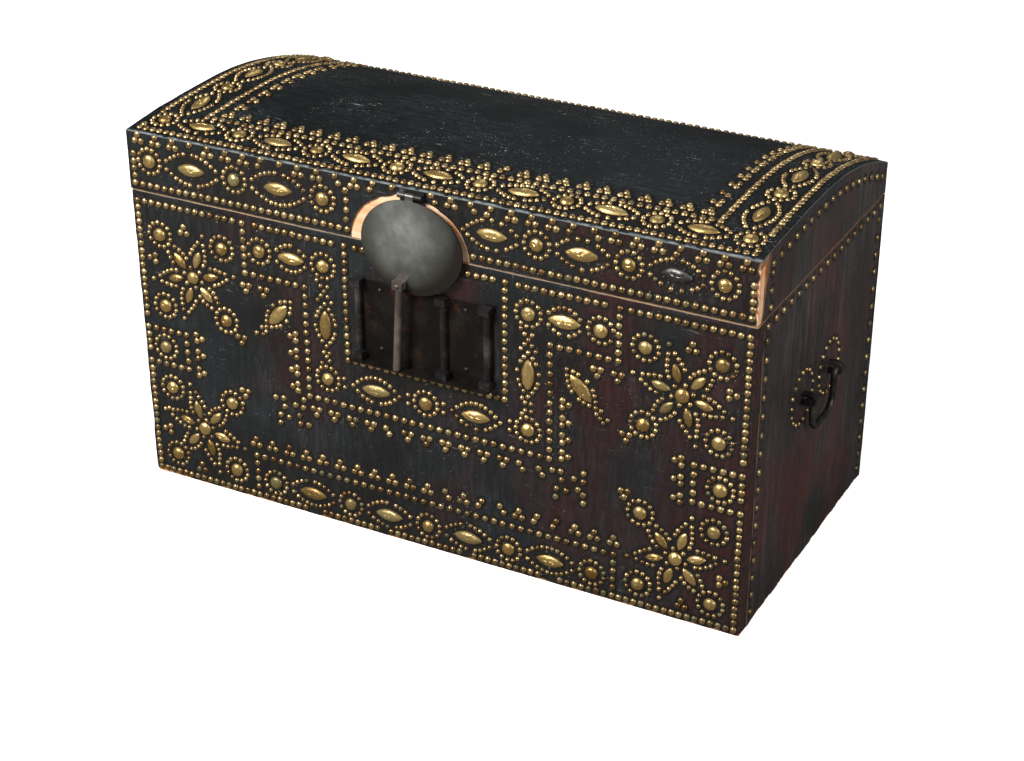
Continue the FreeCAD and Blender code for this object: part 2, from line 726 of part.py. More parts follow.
def stud_frames(studding):
    """The frame round the lock, the stepped outer frame and the chain of bosses between them."""
    for side in (-1, 1):
        lock = side * LOCK_FRAME
        column = side * OUTER_COLUMN
        outer = side * OUTER_FRAME
        chain = side * CHAIN_COLUMN
        far = side * CHAIN_SIDE
        arm_room = (CHAIN_SIDE - CHAIN_COLUMN) / 2 - RING_RADIUS - SMALL_TACK / 2
        upper_waist = (CHAIN_TOP + CHAIN_MIDDLE) / 2 + WAIST_SHIFT
        lower_waist = (CHAIN_FOOT + CHAIN_MIDDLE) / 2 - WAIST_SHIFT
        foot_room = CHAIN_COLUMN / 2 - RING_RADIUS
        studding.row((lock, SEAM_TACKS), (lock, LOCK_FRAME_FOOT), CLOSE_PITCH)
        studding.row((outer, SEAM_TACKS), (outer, OUTER_ARM_LEVEL), CLOSE_PITCH)
        studding.row((outer, OUTER_ARM_LEVEL), (column, OUTER_ARM_LEVEL), WIDE_PITCH)
        studding.row((column, OUTER_ARM_LEVEL), (column, OUTER_FOOT), WIDE_PITCH)
        studding.chain([
            ("round", chain, CHAIN_TOP, 0),
            ("almond", (chain + far) / 2, CHAIN_TOP, arm_room),
            ("round", far, CHAIN_TOP, 0),
        ], 0, LENS_HALF_WIDTH)
        studding.chain([
            ("almond", chain, CHAIN_MIDDLE, UPRIGHT_LENS_HALF),
            ("round", chain, CHAIN_FOOT, 0),
        ], 90, UPRIGHT_LENS_WIDTH)
        studding.hourglass(chain, upper_waist, 90, UPPER_WAIST)
        studding.hourglass(chain, lower_waist, 90, LOWER_WAIST)
        studding.round_boss(0, CHAIN_FOOT)
        studding.chain([("almond", chain / 2, CHAIN_FOOT, foot_room * FOOT_LENS_SHARE)], 0, LENS_HALF_WIDTH)
    studding.ringed_round(0, CHAIN_FOOT)
    for side in (-1, 1):
        for share in FOOT_WAIST_PLACES:
            studding.hourglass(side * CHAIN_COLUMN * share, CHAIN_FOOT, 0, FOOT_WAIST)
    studding.row((-LOCK_FRAME, LOCK_FRAME_FOOT), (LOCK_FRAME, LOCK_FRAME_FOOT), CLOSE_PITCH)
    studding.row((-OUTER_COLUMN, OUTER_FOOT), (OUTER_COLUMN, OUTER_FOOT), WIDE_PITCH)


def stud_front_triples(studding):
    """Triples that follow the outside of the stepped frame."""
    below = OUTER_FOOT - TRIPLE_DROP
    reach = OUTER_COLUMN - TACK
    studding.triples((-reach, below), (reach, below), TRIPLE_PITCH, 270)
    for side in (-1, 1):
        beside = side * (OUTER_COLUMN + TRIPLE_DROP)
        outward = 90 - side * 90
        high = OUTER_FOOT + 3 * TRIPLE_PITCH
        studding.triples((beside, OUTER_FOOT + TACK), (beside, high), TRIPLE_PITCH, outward)
        for inward in (0, TRIPLE_PITCH):
            studding.triple(side * (OUTER_FRAME - inward), OUTER_ARM_LEVEL - TRIPLE_DROP, 270)


def stud_lower_band(studding):
    """The framed band along the foot, with its own chain."""
    ends = (-BAND_CHAIN_HALF, BAND_CHAIN), (BAND_CHAIN_HALF, BAND_CHAIN)
    studding.chain(linked(*ends, BAND_CHAIN_LINKS, "round"), 0, LENS_HALF_WIDTH)
    studding.row((-OUTER_FRAME, BAND_ROW), (OUTER_FRAME, BAND_ROW), WIDE_PITCH)
    studding.triples((-OUTER_FRAME, BAND_TRIPLES), (OUTER_FRAME, BAND_TRIPLES), TRIPLE_PITCH, 90)
    for side in (-1, 1):
        studding.row((side * OUTER_FRAME, BAND_ROW), (side * OUTER_FRAME, EDGE_MARGIN), CLOSE_PITCH)


def stud_body_front():
    studding = Studding(behind_lock, 11)
    edge = HALF - EDGE_MARGIN
    for side in (-1, 1):
        stud_corner_star(studding, side, STAR_TOP, -1)
        stud_corner_star(studding, side, STAR_FOOT, 1)
        stud_side_box(studding, side)
        stud_leaf(studding, side)
        stud_cross(studding, side)
    stud_frames(studding)
    stud_lower_band(studding)
    stud_front_triples(studding)
    studding.row((-edge, SEAM_TACKS), (edge, SEAM_TACKS), CLOSE_PITCH)
    studding.row((-edge, EDGE_MARGIN), (edge, EDGE_MARGIN), EDGE_PITCH)
    for side in (-1, 1):
        studding.row((side * edge, EDGE_MARGIN), (side * edge, SEAM_TACKS), EDGE_PITCH)
    return studding


def behind_hasp_hinge(across, up, radius):
    """True on the lid's front where the wood is bare or the hasp's hinge is nailed on."""
    leaf_half = HASP_HINGE_WIDTH / 2 + radius + 1
    on_leaf = abs(across - HASP_HINGE_ACROSS) < leaf_half and up > HASP_AXIS_Z - HASP_BARREL - radius
    aside = (across - CUTOUT_ACROSS) / (CUTOUT_HALF + radius)
    above = (up - LID_FOOT) / (CUTOUT_RISE + radius)
    return on_leaf or aside ** 2 + above ** 2 < 1


def stud_lid_front():
    """Unlike the body, the lid's front differs either side of the hasp: the right has one almond more."""
    studding = Studding(behind_hasp_hinge, 12)
    edge = HALF - EDGE_MARGIN
    chain = LID_FOOT + LID_CHAIN_LEVEL
    row = LID_FOOT + LID_ROW_LEVEL
    top = LID_FOOT + LID_FRONT_HEIGHT - LID_TRIPLE_DROP
    column_top = top - LID_COLUMN_DROP
    left_column = CUTOUT_ACROSS - CUTOUT_HALF - LID_COLUMN_GAP
    right_column = CUTOUT_ACROSS + CUTOUT_HALF + LID_COLUMN_GAP
    left_ends = (-HALF + LID_LEFT_CHAIN, chain), (left_column - 2 * RING_RADIUS, chain)
    right_ends = (right_column + 1.5 * RING_RADIUS, chain), (HALF - LID_RIGHT_CHAIN, chain)
    studding.chain(linked(*left_ends, LID_LEFT_LINKS, "round"), 0, LID_LEFT_LENS)
    studding.chain(linked(*right_ends, LID_RIGHT_LINKS, "almond"), 0, LID_RIGHT_LENS)
    studding.row((-edge, row), (left_column, row), CLOSE_PITCH)
    studding.row((right_column, row), (edge, row), CLOSE_PITCH)
    studding.row((left_column, row), (left_column, column_top), CLOSE_PITCH)
    studding.row((right_column, row), (right_column, column_top), CLOSE_PITCH)
    studding.triples((TACK - edge, top), (edge - TACK, top), TRIPLE_PITCH, 90)
    for side in (-1, 1):
        studding.row((side * edge, row), (side * edge, column_top), EDGE_PITCH)
    return studding


def never(across, up, radius):
    return False


def top_length():
    """The length of the arched surface from the front edge to the back edge."""
    return arc_share(FRONT_ARC, CROWN_Y - FRONT) + arc_share(BACK_ARC, BACK - CROWN_Y)


def arc_share(radius, half_chord):
    return radius * math.asin(half_chord / radius)


def stud_lid_top():
    """A border round three sides of the lid's top, its middle left bare; a single row at the back."""
    studding = Studding(never, 13)
    end = top_length()
    edge = HALF - END_ROW
    link_start = (-HALF + TOP_CHAIN_MARGIN, TOP_CHAIN)
    link_end = (HALF - TOP_CHAIN_MARGIN, TOP_CHAIN)
    studding.chain(linked(link_start, link_end, TOP_CHAIN_LINKS, "round"), 0, LENS_HALF_WIDTH)
    for side in (-1, 1):
        chain = side * (HALF - END_CHAIN)
        places = linked((chain, TOP_CHAIN), (chain, end - TOP_CHAIN_MARGIN), END_CHAIN_LINKS, "round")
        studding.chain(places[1:], 90, LENS_HALF_WIDTH)
    inner = HALF - END_INNER_ROW
    studding.row((-inner, TOP_INNER_ROW), (inner, TOP_INNER_ROW), CLOSE_PITCH)
    deep = HALF - END_TRIPLES
    studding.triples((-deep, TOP_TRIPLES), (deep, TOP_TRIPLES), TRIPLE_PITCH, 90)
    studding.row((-edge, TOP_ROW), (edge, TOP_ROW), EDGE_PITCH)
    studding.row((-edge, end - TOP_ROW), (edge, end - TOP_ROW), EDGE_PITCH)
    for side in (-1, 1):
        studding.row((side * inner, TOP_INNER_ROW), (side * inner, end - TOP_ROW_STOP), CLOSE_PITCH)
        studding.row((side * edge, TOP_ROW), (side * edge, end - TOP_ROW), EDGE_PITCH)
        near = (side * deep, TOP_TRIPLES + TRIPLE_PITCH)
        far = (side * deep, end - TOP_CHAIN_MARGIN)
        studding.triples(near, far, TRIPLE_PITCH, 90 + side * 90)
    return studding


def stud_body_end(across_sign):
    """One end of the body; the panel's own across runs towards +Y on the right and -Y on the left."""
    studding = Studding(never, 14)
    front = across_sign * (FRONT + END_FRONT_ROW)
    back = across_sign * (BACK - END_BACK_ROW)
    top = BODY_HEIGHT - END_SEAM_ROW
    studding.row((front, top), (back, top), END_PITCH)
    studding.row((front, END_STOP), (front, top - END_STOP), END_PITCH)
    studding.row((back, END_STOP), (back, top - END_STOP), END_PITCH)
    for side in (-1, 1):
        middle = across_sign * (HANDLE_MIDDLE + side * HANDLE_HALF)
        studding.ring(middle, HANDLE_LEVEL, EAR_RING, EAR_RING_COUNT)
    return studding


def stud_lid_end(across_sign):
    """One end of the lid: a row that follows the arch and a column down the front edge."""
    studding = Studding(never, 15)
    start = FRONT + LID_END_FRONT
    stop = BACK - END_STOP
    steps = round((stop - start) / END_PITCH)
    for number in range(steps + 1):
        y = start + (stop - start) * number / steps
        studding.tack(across_sign * y, arc_level(y, ARCH_ROW_DROP, y))
    column_foot = (across_sign * start, LID_FOOT + LID_ROW_LEVEL)
    column_top = (across_sign * start, LID_FOOT + LID_FRONT_HEIGHT - ARCH_ROW_DROP - TACK)
    studding.row(column_foot, column_top, LID_END_PITCH)
    return studding


def stud_back(low, high):
    """A plain border of wide-set tacks."""
    studding = Studding(behind_back_hinge, 16)
    edge = HALF - BACK_ROW
    studding.row((-edge, low), (edge, low), END_PITCH)
    studding.row((-edge, high), (edge, high), END_PITCH)
    for side in (-1, 1):
        studding.row((side * edge, low), (side * edge, high), END_PITCH)
    return studding


def behind_back_hinge(across, up, radius):
    """True on the back where a hinge leaf lies."""
    half = HINGE_WIDTH / 2 + radius + HEAD_GAP
    low = BODY_HEIGHT - HINGE_BODY_LEAF - radius
    high = LID_FOOT + HINGE_BARREL + HINGE_LID_LEAF + radius
    near_seam = low < up < high
    return near_seam and any(abs(abs(across) - abs(place)) < half for place in HINGE_PLACES)


def flat_panel(right, outward, face):
    """How a flat panel's across and up become a place in space and two directions."""
    def place(across, up):
        return right * across + outward * face + vec(0, 0, up), right, vec(0, 0, 1)
    return place


def arched_panel(across, along):
    """The same for the lid's top, where along is measured over the surface from the front edge."""
    front_run = arc_share(FRONT_ARC, CROWN_Y - FRONT)
    radius = FRONT_ARC if along < front_run else BACK_ARC
    angle = (along - front_run) / radius
    point = vec(across, CROWN_Y + radius * math.sin(angle), CROWN_Z - radius + radius * math.cos(angle))
    return point, vec(1, 0, 0), vec(0, math.cos(angle), -math.sin(angle))


def seated(head, panel, places):
    """Copies of a head set down on a panel at these places."""
    solids = []
    for across, up, turn in places:
        point, right, upward = panel(across, up)
        outward = right.cross(upward)
        matrix = FreeCAD.Matrix(
            right.x, upward.x, outward.x, point.x,
            right.y, upward.y, outward.y, point.y,
            right.z, upward.z, outward.z, point.z,
            0, 0, 0, 1)
        spin = FreeCAD.Placement(vec(0, 0, 0), FreeCAD.Rotation(vec(0, 0, 1), turn))
        solid = head.copy()
        solid.Placement = FreeCAD.Placement(matrix).multiply(spin)
        solids.append(solid)
    return solids


def make_brass():
    tack = studded_head(TACK, TACK_HEIGHT, SHANK, SHANK_LENGTH)
    small = studded_head(SMALL_TACK, SMALL_TACK_HEIGHT, SHANK, SHANK_LENGTH)
    boss = studded_head(ROUND_BOSS, ROUND_BOSS_HEIGHT, 2 * SHANK, SHANK_LENGTH)
    almond = almond_head(ALMOND_LENGTH, ALMOND_WIDTH, ALMOND_HEIGHT)
    petal = almond_head(PETAL_LENGTH, PETAL_WIDTH, PETAL_HEIGHT)
    front = flat_panel(vec(1, 0, 0), vec(0, -1, 0), -FRONT)
    back = flat_panel(vec(-1, 0, 0), vec(0, 1, 0), BACK)
    right = flat_panel(vec(0, 1, 0), vec(1, 0, 0), HALF)
    left = flat_panel(vec(0, -1, 0), vec(-1, 0, 0), HALF)

    body_front = stud_body_front()
    save("body_front_tacks", seated(tack, front, body_front.tacks))
    save("body_front_small_tacks", seated(small, front, body_front.small_tacks))
    save("body_front_rounds", seated(boss, front, body_front.rounds))
    save("body_front_almonds", seated(almond, front, body_front.almonds))
    save("body_front_petals", seated(petal, front, body_front.petals))
    lid_front = stud_lid_front()
    save("lid_front_tacks", seated(tack, front, lid_front.tacks))
    save("lid_front_small_tacks", seated(small, front, lid_front.small_tacks))
    save("lid_front_rounds", seated(boss, front, lid_front.rounds))
    save("lid_front_almonds", seated(almond, front, lid_front.almonds))
    lid_top = stud_lid_top()
    save("lid_top_tacks", seated(tack, arched_panel, lid_top.tacks))
    save("lid_top_small_tacks", seated(small, arched_panel, lid_top.small_tacks))
    save("lid_top_rounds", seated(boss, arched_panel, lid_top.rounds))
    save("lid_top_almonds", seated(almond, arched_panel, lid_top.almonds))
    right_end = stud_body_end(1)
    left_end = stud_body_end(-1)
    save("body_end_tacks", seated(tack, right, right_end.tacks) + seated(tack, left, left_end.tacks))
    save("handle_ring_tacks",
         seated(small, right, right_end.small_tacks) + seated(small, left, left_end.small_tacks))
    lid_ends = seated(tack, right, stud_lid_end(1).tacks) + seated(tack, left, stud_lid_end(-1).tacks)
    save("lid_end_tacks", lid_ends)
    save("body_back_tacks", seated(tack, back, stud_back(BACK_FOOT_ROW, SEAM_TACKS).tacks))
    lid_back = stud_back(LID_FOOT + LID_BACK_ROW, LID_FOOT + LID_BACK_HEIGHT - LID_BACK_ROW)
    save("lid_back_tacks", seated(tack, back, lid_back.tacks))


# Lock and hasp

def make_lock_plate():
    """The plate and its shelf-like foot are one bent sheet."""
    sheet = block(-PLATE_HALF, PLATE_HALF, PLATE_FACE, FRONT, PLATE_FOOT, PLATE_TOP)
    shelf_front = PLATE_FACE - FLANGE_REACH
    shelf = block(-PLATE_HALF, PLATE_HALF, shelf_front, FRONT, PLATE_FOOT, PLATE_FOOT + FLANGE)
    save("lock_plate", [sheet.fuse(shelf).removeSplitter()])


def lock_bar(across):
    """A half-round upright with a square cap above and a square foot on the shelf."""
    low = PLATE_FOOT + FLANGE
    top = PLATE_TOP + CAP_OVER_PLATE
    half = BAR_WIDTH / 2
    cap_half = CAP_WIDTH / 2
    middle_y = PLATE_FACE - BAR_DEPTH + half
    cap_front = PLATE_FACE - CAP_DEPTH
    shaft = Part.makeCylinder(half, top - low, vec(across, middle_y, low))
    clear_of_plate = block(across - BAR_WIDTH, across + BAR_WIDTH, cap_front, PLATE_FACE, low, top)
    back = block(across - half, across + half, middle_y, PLATE_FACE, low, top)
    cap = block(across - cap_half, across + cap_half, cap_front, PLATE_FACE, top - CAP_HEIGHT, top)
    foot = block(across - cap_half, across + cap_half, cap_front, PLATE_FACE, low, low + CAP_HEIGHT)
    return shaft.common(clear_of_plate).multiFuse([back, cap, foot]).removeSplitter()


def nail(panel, across, up):
    """One round-headed iron nail driven into a panel."""
    head = studded_head(NAIL, NAIL_HEIGHT, SHANK, SHANK_LENGTH)
    return seated(head, panel, [(across, up, 0)])[0]


def make_lock_nails():
    face = flat_panel(vec(1, 0, 0), vec(0, -1, 0), -PLATE_FACE)
    nails = []
    for across in (-PLATE_NAIL_ACROSS, PLATE_NAIL_ACROSS):
        for up in (PLATE_FOOT + PLATE_NAIL_LOW, PLATE_TOP - PLATE_NAIL_HIGH):
            nails.append(nail(face, across, up))
    save("lock_nails", nails)


def hasp_knuckle(x0, x1):
    """One turn of the barrel of the hasp's hinge."""
    return Part.makeCylinder(HASP_BARREL, x1 - x0, vec(x0, HASP_AXIS_Y, HASP_AXIS_Z), vec(1, 0, 0))


def make_hasp_hinge():
    """A small leaf nailed to the lid, its two knuckles either side of the cover's own knuckle."""
    left = HASP_HINGE_ACROSS - HASP_HINGE_WIDTH / 2
    right = HASP_HINGE_ACROSS + HASP_HINGE_WIDTH / 2
    third = HASP_HINGE_WIDTH / 3
    leaf_top = BODY_HEIGHT + LID_FRONT_HEIGHT - HASP_LEAF_DROP
    leaf_foot = HASP_AXIS_Z - HASP_LEAF_FOOT
    leaf = block(left, right, PLATE_FACE, FRONT, leaf_foot, leaf_top)
    bedded_top = HASP_AXIS_Z - 2 * HASP_BARREL
    pieces = [block(left, right, FRONT, SKIN_FRONT, leaf_foot, bedded_top)]
    for x0, x1 in ((left, left + third - KNUCKLE_GAP), (right - third + KNUCKLE_GAP, right)):
        web = block(x0, x1, HASP_AXIS_Y, PLATE_FACE, HASP_AXIS_Z, HASP_AXIS_Z + HASP_BARREL)
        pieces += [hasp_knuckle(x0, x1), web]
    whole = leaf.multiFuse(pieces).removeSplitter()
    start = vec(left - 1, HASP_AXIS_Y, HASP_AXIS_Z)
    save("hasp_hinge_leaf", [bored(whole, start, vec(HASP_HINGE_WIDTH + 2, 0, 0), HASP_PIN)])
    pin_start = vec(left, HASP_AXIS_Y, HASP_AXIS_Z)
    save("hasp_hinge_pin", [Part.makeCylinder(HASP_PIN, HASP_HINGE_WIDTH, pin_start, vec(1, 0, 0))])
    face = flat_panel(vec(1, 0, 0), vec(0, -1, 0), -PLATE_FACE)
    nail_level = leaf_foot + HASP_NAIL_INSET
    nail_places = (left + HASP_NAIL_INSET, right - HASP_NAIL_INSET)
    save("hasp_hinge_nails", [nail(face, across, nail_level) for across in nail_places])


def domed_oval():
    """An oval cut from a thin ball, bulging away from the chest."""
    radius = arc_radius((COVER_HALF_WIDTH + COVER_HALF_HEIGHT) / 2, COVER_DOME)
    middle = vec(COVER_ACROSS, FRONT - COVER_STANDOFF + radius, COVER_MIDDLE)
    shell = Part.makeSphere(radius, middle).cut(Part.makeSphere(radius - COVER_THICK, middle))
    oval = upright_oval(COVER_ACROSS, COVER_MIDDLE, COVER_HALF_WIDTH, COVER_HALF_HEIGHT,
                        FRONT - 2 * COVER_STANDOFF, FRONT)
    return shell.common(oval)


def make_hasp_cover():
    """The domed cover with the knuckle it hangs by."""
    third = HASP_HINGE_WIDTH / 3
    x0 = HASP_HINGE_ACROSS - third / 2
    x1 = HASP_HINGE_ACROSS + third / 2
    strap_back = HASP_AXIS_Y - HASP_BARREL + COVER_THICK
    strap = block(x0, x1, HASP_AXIS_Y - HASP_BARREL, strap_back, HASP_AXIS_Z - HASP_STRAP, HASP_AXIS_Z)
    whole = domed_oval().multiFuse([strap, hasp_knuckle(x0, x1)]).removeSplitter()
    start = vec(x0 - 1, HASP_AXIS_Y, HASP_AXIS_Z)
    save("hasp_cover", [bored(whole, start, vec(x1 - x0 + 2, 0, 0), HASP_PIN + PIN_CLEARANCE)])


def make_hasp_bar():
    """The long bar that hangs from the foot of the cover, with the square head it is riveted by."""
    half = BAR_WIDTH / 2
    head_half = HASP_HEAD_WIDTH / 2
    head_depth = BAR_WIDTH + HASP_HEAD_PROUD
    lean = HASP_BAR_LENGTH * math.sin(math.radians(HASP_BAR_TILT)) / 2
    across = HASP_BAR_ACROSS + lean
    face = cover_face(across, HASP_BAR_TOP)
    shaft = Part.makeCylinder(half, HASP_BAR_LENGTH, vec(0, 0, -HASP_BAR_LENGTH))
    head = block(-head_half, head_half, half - head_depth, half, -HASP_HEAD_HEIGHT, 0)
    whole = shaft.fuse(head).removeSplitter()
    whole.rotate(vec(0, 0, 0), vec(0, 1, 0), HASP_BAR_TILT)
    whole.translate(vec(across, face - half, HASP_BAR_TOP))
    save("hasp_bar", [whole])
    rivet_head = studded_head(NAIL, NAIL_HEIGHT, 2 * SHANK, head_depth + 2 * COVER_THICK + RIVET_SPARE)
    rivet_face = flat_panel(vec(1, 0, 0), vec(0, -1, 0), head_depth - face)
    save("hasp_rivet", seated(rivet_head, rivet_face, [(across, HASP_BAR_TOP - HASP_HEAD_HEIGHT / 2, 0)]))


def cover_face(across, up):
    """How far forward the cover's domed face stands at a point."""
    radius = arc_radius((COVER_HALF_WIDTH + COVER_HALF_HEIGHT) / 2, COVER_DOME)
    aside = math.hypot(across - COVER_ACROSS, up - COVER_MIDDLE)
    return FRONT - COVER_STANDOFF + radius - math.sqrt(radius ** 2 - aside ** 2)


def make_lock():
    make_lock_plate()
    save("lock_bars", [lock_bar(across) for across in BAR_PLACES])
    make_lock_nails()
    make_hasp_hinge()
    make_hasp_cover()
    make_hasp_bar()


# Back hinges

def back_knuckle(x0, x1):
    return Part.makeCylinder(HINGE_BARREL, x1 - x0, vec(x0, HINGE_AXIS_Y, LID_FOOT), vec(1, 0, 0))


def hinge_leaf(place, shares, low, high, clearance):
    """A leaf against the back with knuckles over these shares of its width."""
    left = place - HINGE_WIDTH / 2
    leaf = block(left, left + HINGE_WIDTH, BACK, BACK + HINGE_LEAF, low, high)
    pieces = []
    for start, end in shares:
        x0 = left + start * HINGE_WIDTH + (KNUCKLE_GAP if start > 0 else 0)
        x1 = left + end * HINGE_WIDTH - (KNUCKLE_GAP if end < 1 else 0)
        web = block(x0, x1, BACK, HINGE_AXIS_Y, min(low, LID_FOOT), max(high, LID_FOOT))
        near = block(x0, x1, BACK, HINGE_AXIS_Y,
                     LID_FOOT - HINGE_BARREL - HINGE_LAP, LID_FOOT + HINGE_BARREL + HINGE_LAP)
        pieces += [back_knuckle(x0, x1), web.common(near)]
    whole = leaf.multiFuse(pieces).removeSplitter()
    axis = vec(left - 1, HINGE_AXIS_Y, LID_FOOT)
    return bored(whole, axis, vec(HINGE_WIDTH + 2, 0, 0), HINGE_PIN + clearance)


def make_back_hinges():
    """Two butt hinges: the body's leaf has the outer knuckles and holds the pin."""
    back = flat_panel(vec(-1, 0, 0), vec(0, 1, 0), BACK + HINGE_LEAF)
    body_leaves = []
    lid_leaves = []
    pins = []
    body_nails = []
    lid_nails = []
    body_low = BODY_HEIGHT - HINGE_BODY_LEAF
    body_high = LID_FOOT - HINGE_BARREL - KNUCKLE_GAP
    lid_low = LID_FOOT + HINGE_BARREL + KNUCKLE_GAP
    lid_high = LID_FOOT + HINGE_LID_LEAF + HINGE_BARREL
    for place in HINGE_PLACES:
        body_leaves.append(hinge_leaf(place, ((0, 1 / 3), (2 / 3, 1)), body_low, body_high, 0))
        lid_leaves.append(hinge_leaf(place, ((1 / 3, 2 / 3),), lid_low, lid_high, PIN_CLEARANCE))
        pin_start = vec(place - HINGE_WIDTH / 2, HINGE_AXIS_Y, LID_FOOT)
        pins.append(Part.makeCylinder(HINGE_PIN, HINGE_WIDTH, pin_start, vec(1, 0, 0)))
        for aside in (-HINGE_NAIL_SHARE * HINGE_WIDTH, HINGE_NAIL_SHARE * HINGE_WIDTH):
            for up in HINGE_NAILS_LOW:
                body_nails.append(nail(back, -place + aside, body_low + up))
            lid_nails.append(nail(back, -place + aside, lid_high - HINGE_NAIL_HIGH))
    save("body_hinge_leaves", body_leaves)
    save("lid_hinge_leaves", lid_leaves)
    save("hinge_pins", pins)
    save("body_hinge_nails", body_nails)
    save("lid_hinge_nails", lid_nails)


# Handles

def ear(side, middle):
    """A flat iron staple: a strap bent round the handle's bar, both its legs driven into the end."""
    inner = HANDLE_BAR + EAR_CLEARANCE
    outer = inner + EAR_STRAP
    root = SKIN_HALF - EAR_LEG + LEATHER
    low_y = middle - EAR_WIDTH / 2
    bend = Part.makeCylinder(outer, EAR_WIDTH, vec(HANDLE_AXIS, low_y, HANDLE_LEVEL), vec(0, 1, 0))
    high_y = low_y + EAR_WIDTH
    legs = block(root, HANDLE_AXIS, low_y, high_y, HANDLE_LEVEL - outer, HANDLE_LEVEL + outer)
    gap = block(root - 1, HANDLE_AXIS, low_y - 1, high_y + 1, HANDLE_LEVEL - inner, HANDLE_LEVEL + inner)
    whole = bend.fuse(legs).cut(gap)
    axis = vec(HANDLE_AXIS, low_y - 1, HANDLE_LEVEL)
    strap = bored(whole, axis, vec(0, EAR_WIDTH + 2, 0), inner).removeSplitter()
    if side < 0:
        strap = strap.mirror(vec(0, 0, 0), vec(1, 0, 0))
    return strap


def quarter(centre, start_angle, end_angle, radius, x):
    """A quarter bend of the bail's middle line, in the upright plane at this x."""
    points = []
    for angle in (start_angle, (start_angle + end_angle) / 2, end_angle):
        shift, rise = turned(angle, radius, 0)
        points.append(vec(x, centre[0] + shift, centre[1] + rise))
    return Part.Arc(*points).toShape()


def bail(side):
    """A round bar bent to a hanging bail whose ends turn outwards through the two ears."""
    x = side * HANDLE_AXIS
    elbow = HANDLE_ELBOW
    far = HANDLE_HALF + STUB_OVERHANG
    arm = HANDLE_ARM
    foot = HANDLE_LEVEL - HANDLE_DROP
    top = HANDLE_LEVEL
    left_end = vec(x, HANDLE_MIDDLE - far, top)
    right_end = vec(x, HANDLE_MIDDLE + far, top)
    left_arm = HANDLE_MIDDLE - arm
    right_arm = HANDLE_MIDDLE + arm
    edges = [
        line(left_end, vec(x, left_arm - elbow, top)),
        quarter((left_arm - elbow, top - elbow), 90, 0, elbow, x),
        line(vec(x, left_arm, top - elbow), vec(x, left_arm, foot + HANDLE_BEND)),
        quarter((left_arm + HANDLE_BEND, foot + HANDLE_BEND), 180, 270, HANDLE_BEND, x),
        line(vec(x, left_arm + HANDLE_BEND, foot), vec(x, right_arm - HANDLE_BEND, foot)),
        quarter((right_arm - HANDLE_BEND, foot + HANDLE_BEND), 270, 360, HANDLE_BEND, x),
        line(vec(x, right_arm, foot + HANDLE_BEND), vec(x, right_arm, top - elbow)),
        quarter((right_arm + elbow, top - elbow), 180, 90, elbow, x),
        line(vec(x, right_arm + elbow, top), right_end),
    ]
    path = Part.Wire(edges)
    section = Part.Wire(Part.makeCircle(HANDLE_BAR, left_end, vec(0, 1, 0)))
    return Part.Solid(path.makePipeShell([section], True, False))


def make_handles():
    for side, name in ((-1, "left"), (1, "right")):
        ears = [ear(side, HANDLE_MIDDLE - HANDLE_HALF), ear(side, HANDLE_MIDDLE + HANDLE_HALF)]
        save(name + "_handle_ears", ears)
        save(name + "_handle", [bail(side)])


os.makedirs("parts", exist_ok=True)
make_body_boards()
make_body_leathers()
make_lid_boards()
make_lid_leathers()
make_brass()
make_lock()
make_back_hinges()
make_handles()
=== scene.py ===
import math

import bpy
import numpy as np
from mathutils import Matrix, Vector


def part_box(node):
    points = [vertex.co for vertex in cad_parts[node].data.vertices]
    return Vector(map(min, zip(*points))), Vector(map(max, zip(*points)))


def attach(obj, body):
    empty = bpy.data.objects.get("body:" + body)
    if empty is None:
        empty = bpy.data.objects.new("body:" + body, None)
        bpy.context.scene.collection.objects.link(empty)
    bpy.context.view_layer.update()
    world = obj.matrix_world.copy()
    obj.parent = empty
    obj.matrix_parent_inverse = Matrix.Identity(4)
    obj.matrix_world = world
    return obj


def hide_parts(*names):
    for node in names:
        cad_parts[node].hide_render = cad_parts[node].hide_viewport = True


# The looks of a low wooden chest under dark hide, studded with brass and closed by an iron hasp.
# Metres; the origin is the middle of its footprint, +Z is up, and the front looks along -Y.

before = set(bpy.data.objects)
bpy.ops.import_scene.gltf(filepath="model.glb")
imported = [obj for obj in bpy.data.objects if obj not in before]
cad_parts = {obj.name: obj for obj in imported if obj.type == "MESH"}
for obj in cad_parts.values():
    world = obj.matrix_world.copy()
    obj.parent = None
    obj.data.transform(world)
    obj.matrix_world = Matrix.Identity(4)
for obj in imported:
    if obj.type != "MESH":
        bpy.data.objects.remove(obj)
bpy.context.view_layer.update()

MM = 0.001
TURN = 2 * math.pi
HIDE = 2.0 * MM
HIDE_STEP = 3.2 * MM
BACK_STEP = 5.0 * MM
SOFT_EDGE = 2.2 * MM
EDGE_LINES = (0.0, 0.5 * MM, 1.2 * MM, 2.2 * MM)
EDGE_FALL = 0.6
DIMPLE = 0.55 * MM
DIMPLE_REACH = 7.5 * MM
FAR_FROM_EDGE = 50.0 * MM
LID_END_ROWS = 26
LID_FRONT_ROWS = 22
WINDOW_COLUMNS = 74

# Sizes of the hides that the fixed nodes' boxes don't give
CORNER_RADIUS = 3.0 * MM
TEAR_LEAN = 15.0 * MM
WINDOW_ACROSS = -20.0 * MM
WINDOW_HALF = 91.0 * MM
WINDOW_RISE = 76.5 * MM
CHIP = 7.0 * MM
CHIP_ACROSS = 20.0 * MM

# Sizes of the brass heads
FLAT = 0.02 * MM
SMALLEST_HEAD = 5.0 * MM
SUNK = 0.5 * MM
GREY_ALMOND_ACROSS = 364.0 * MM
GREY_ALMOND_REACH = 25.0 * MM
LONG_HEAD = 30.0 * MM

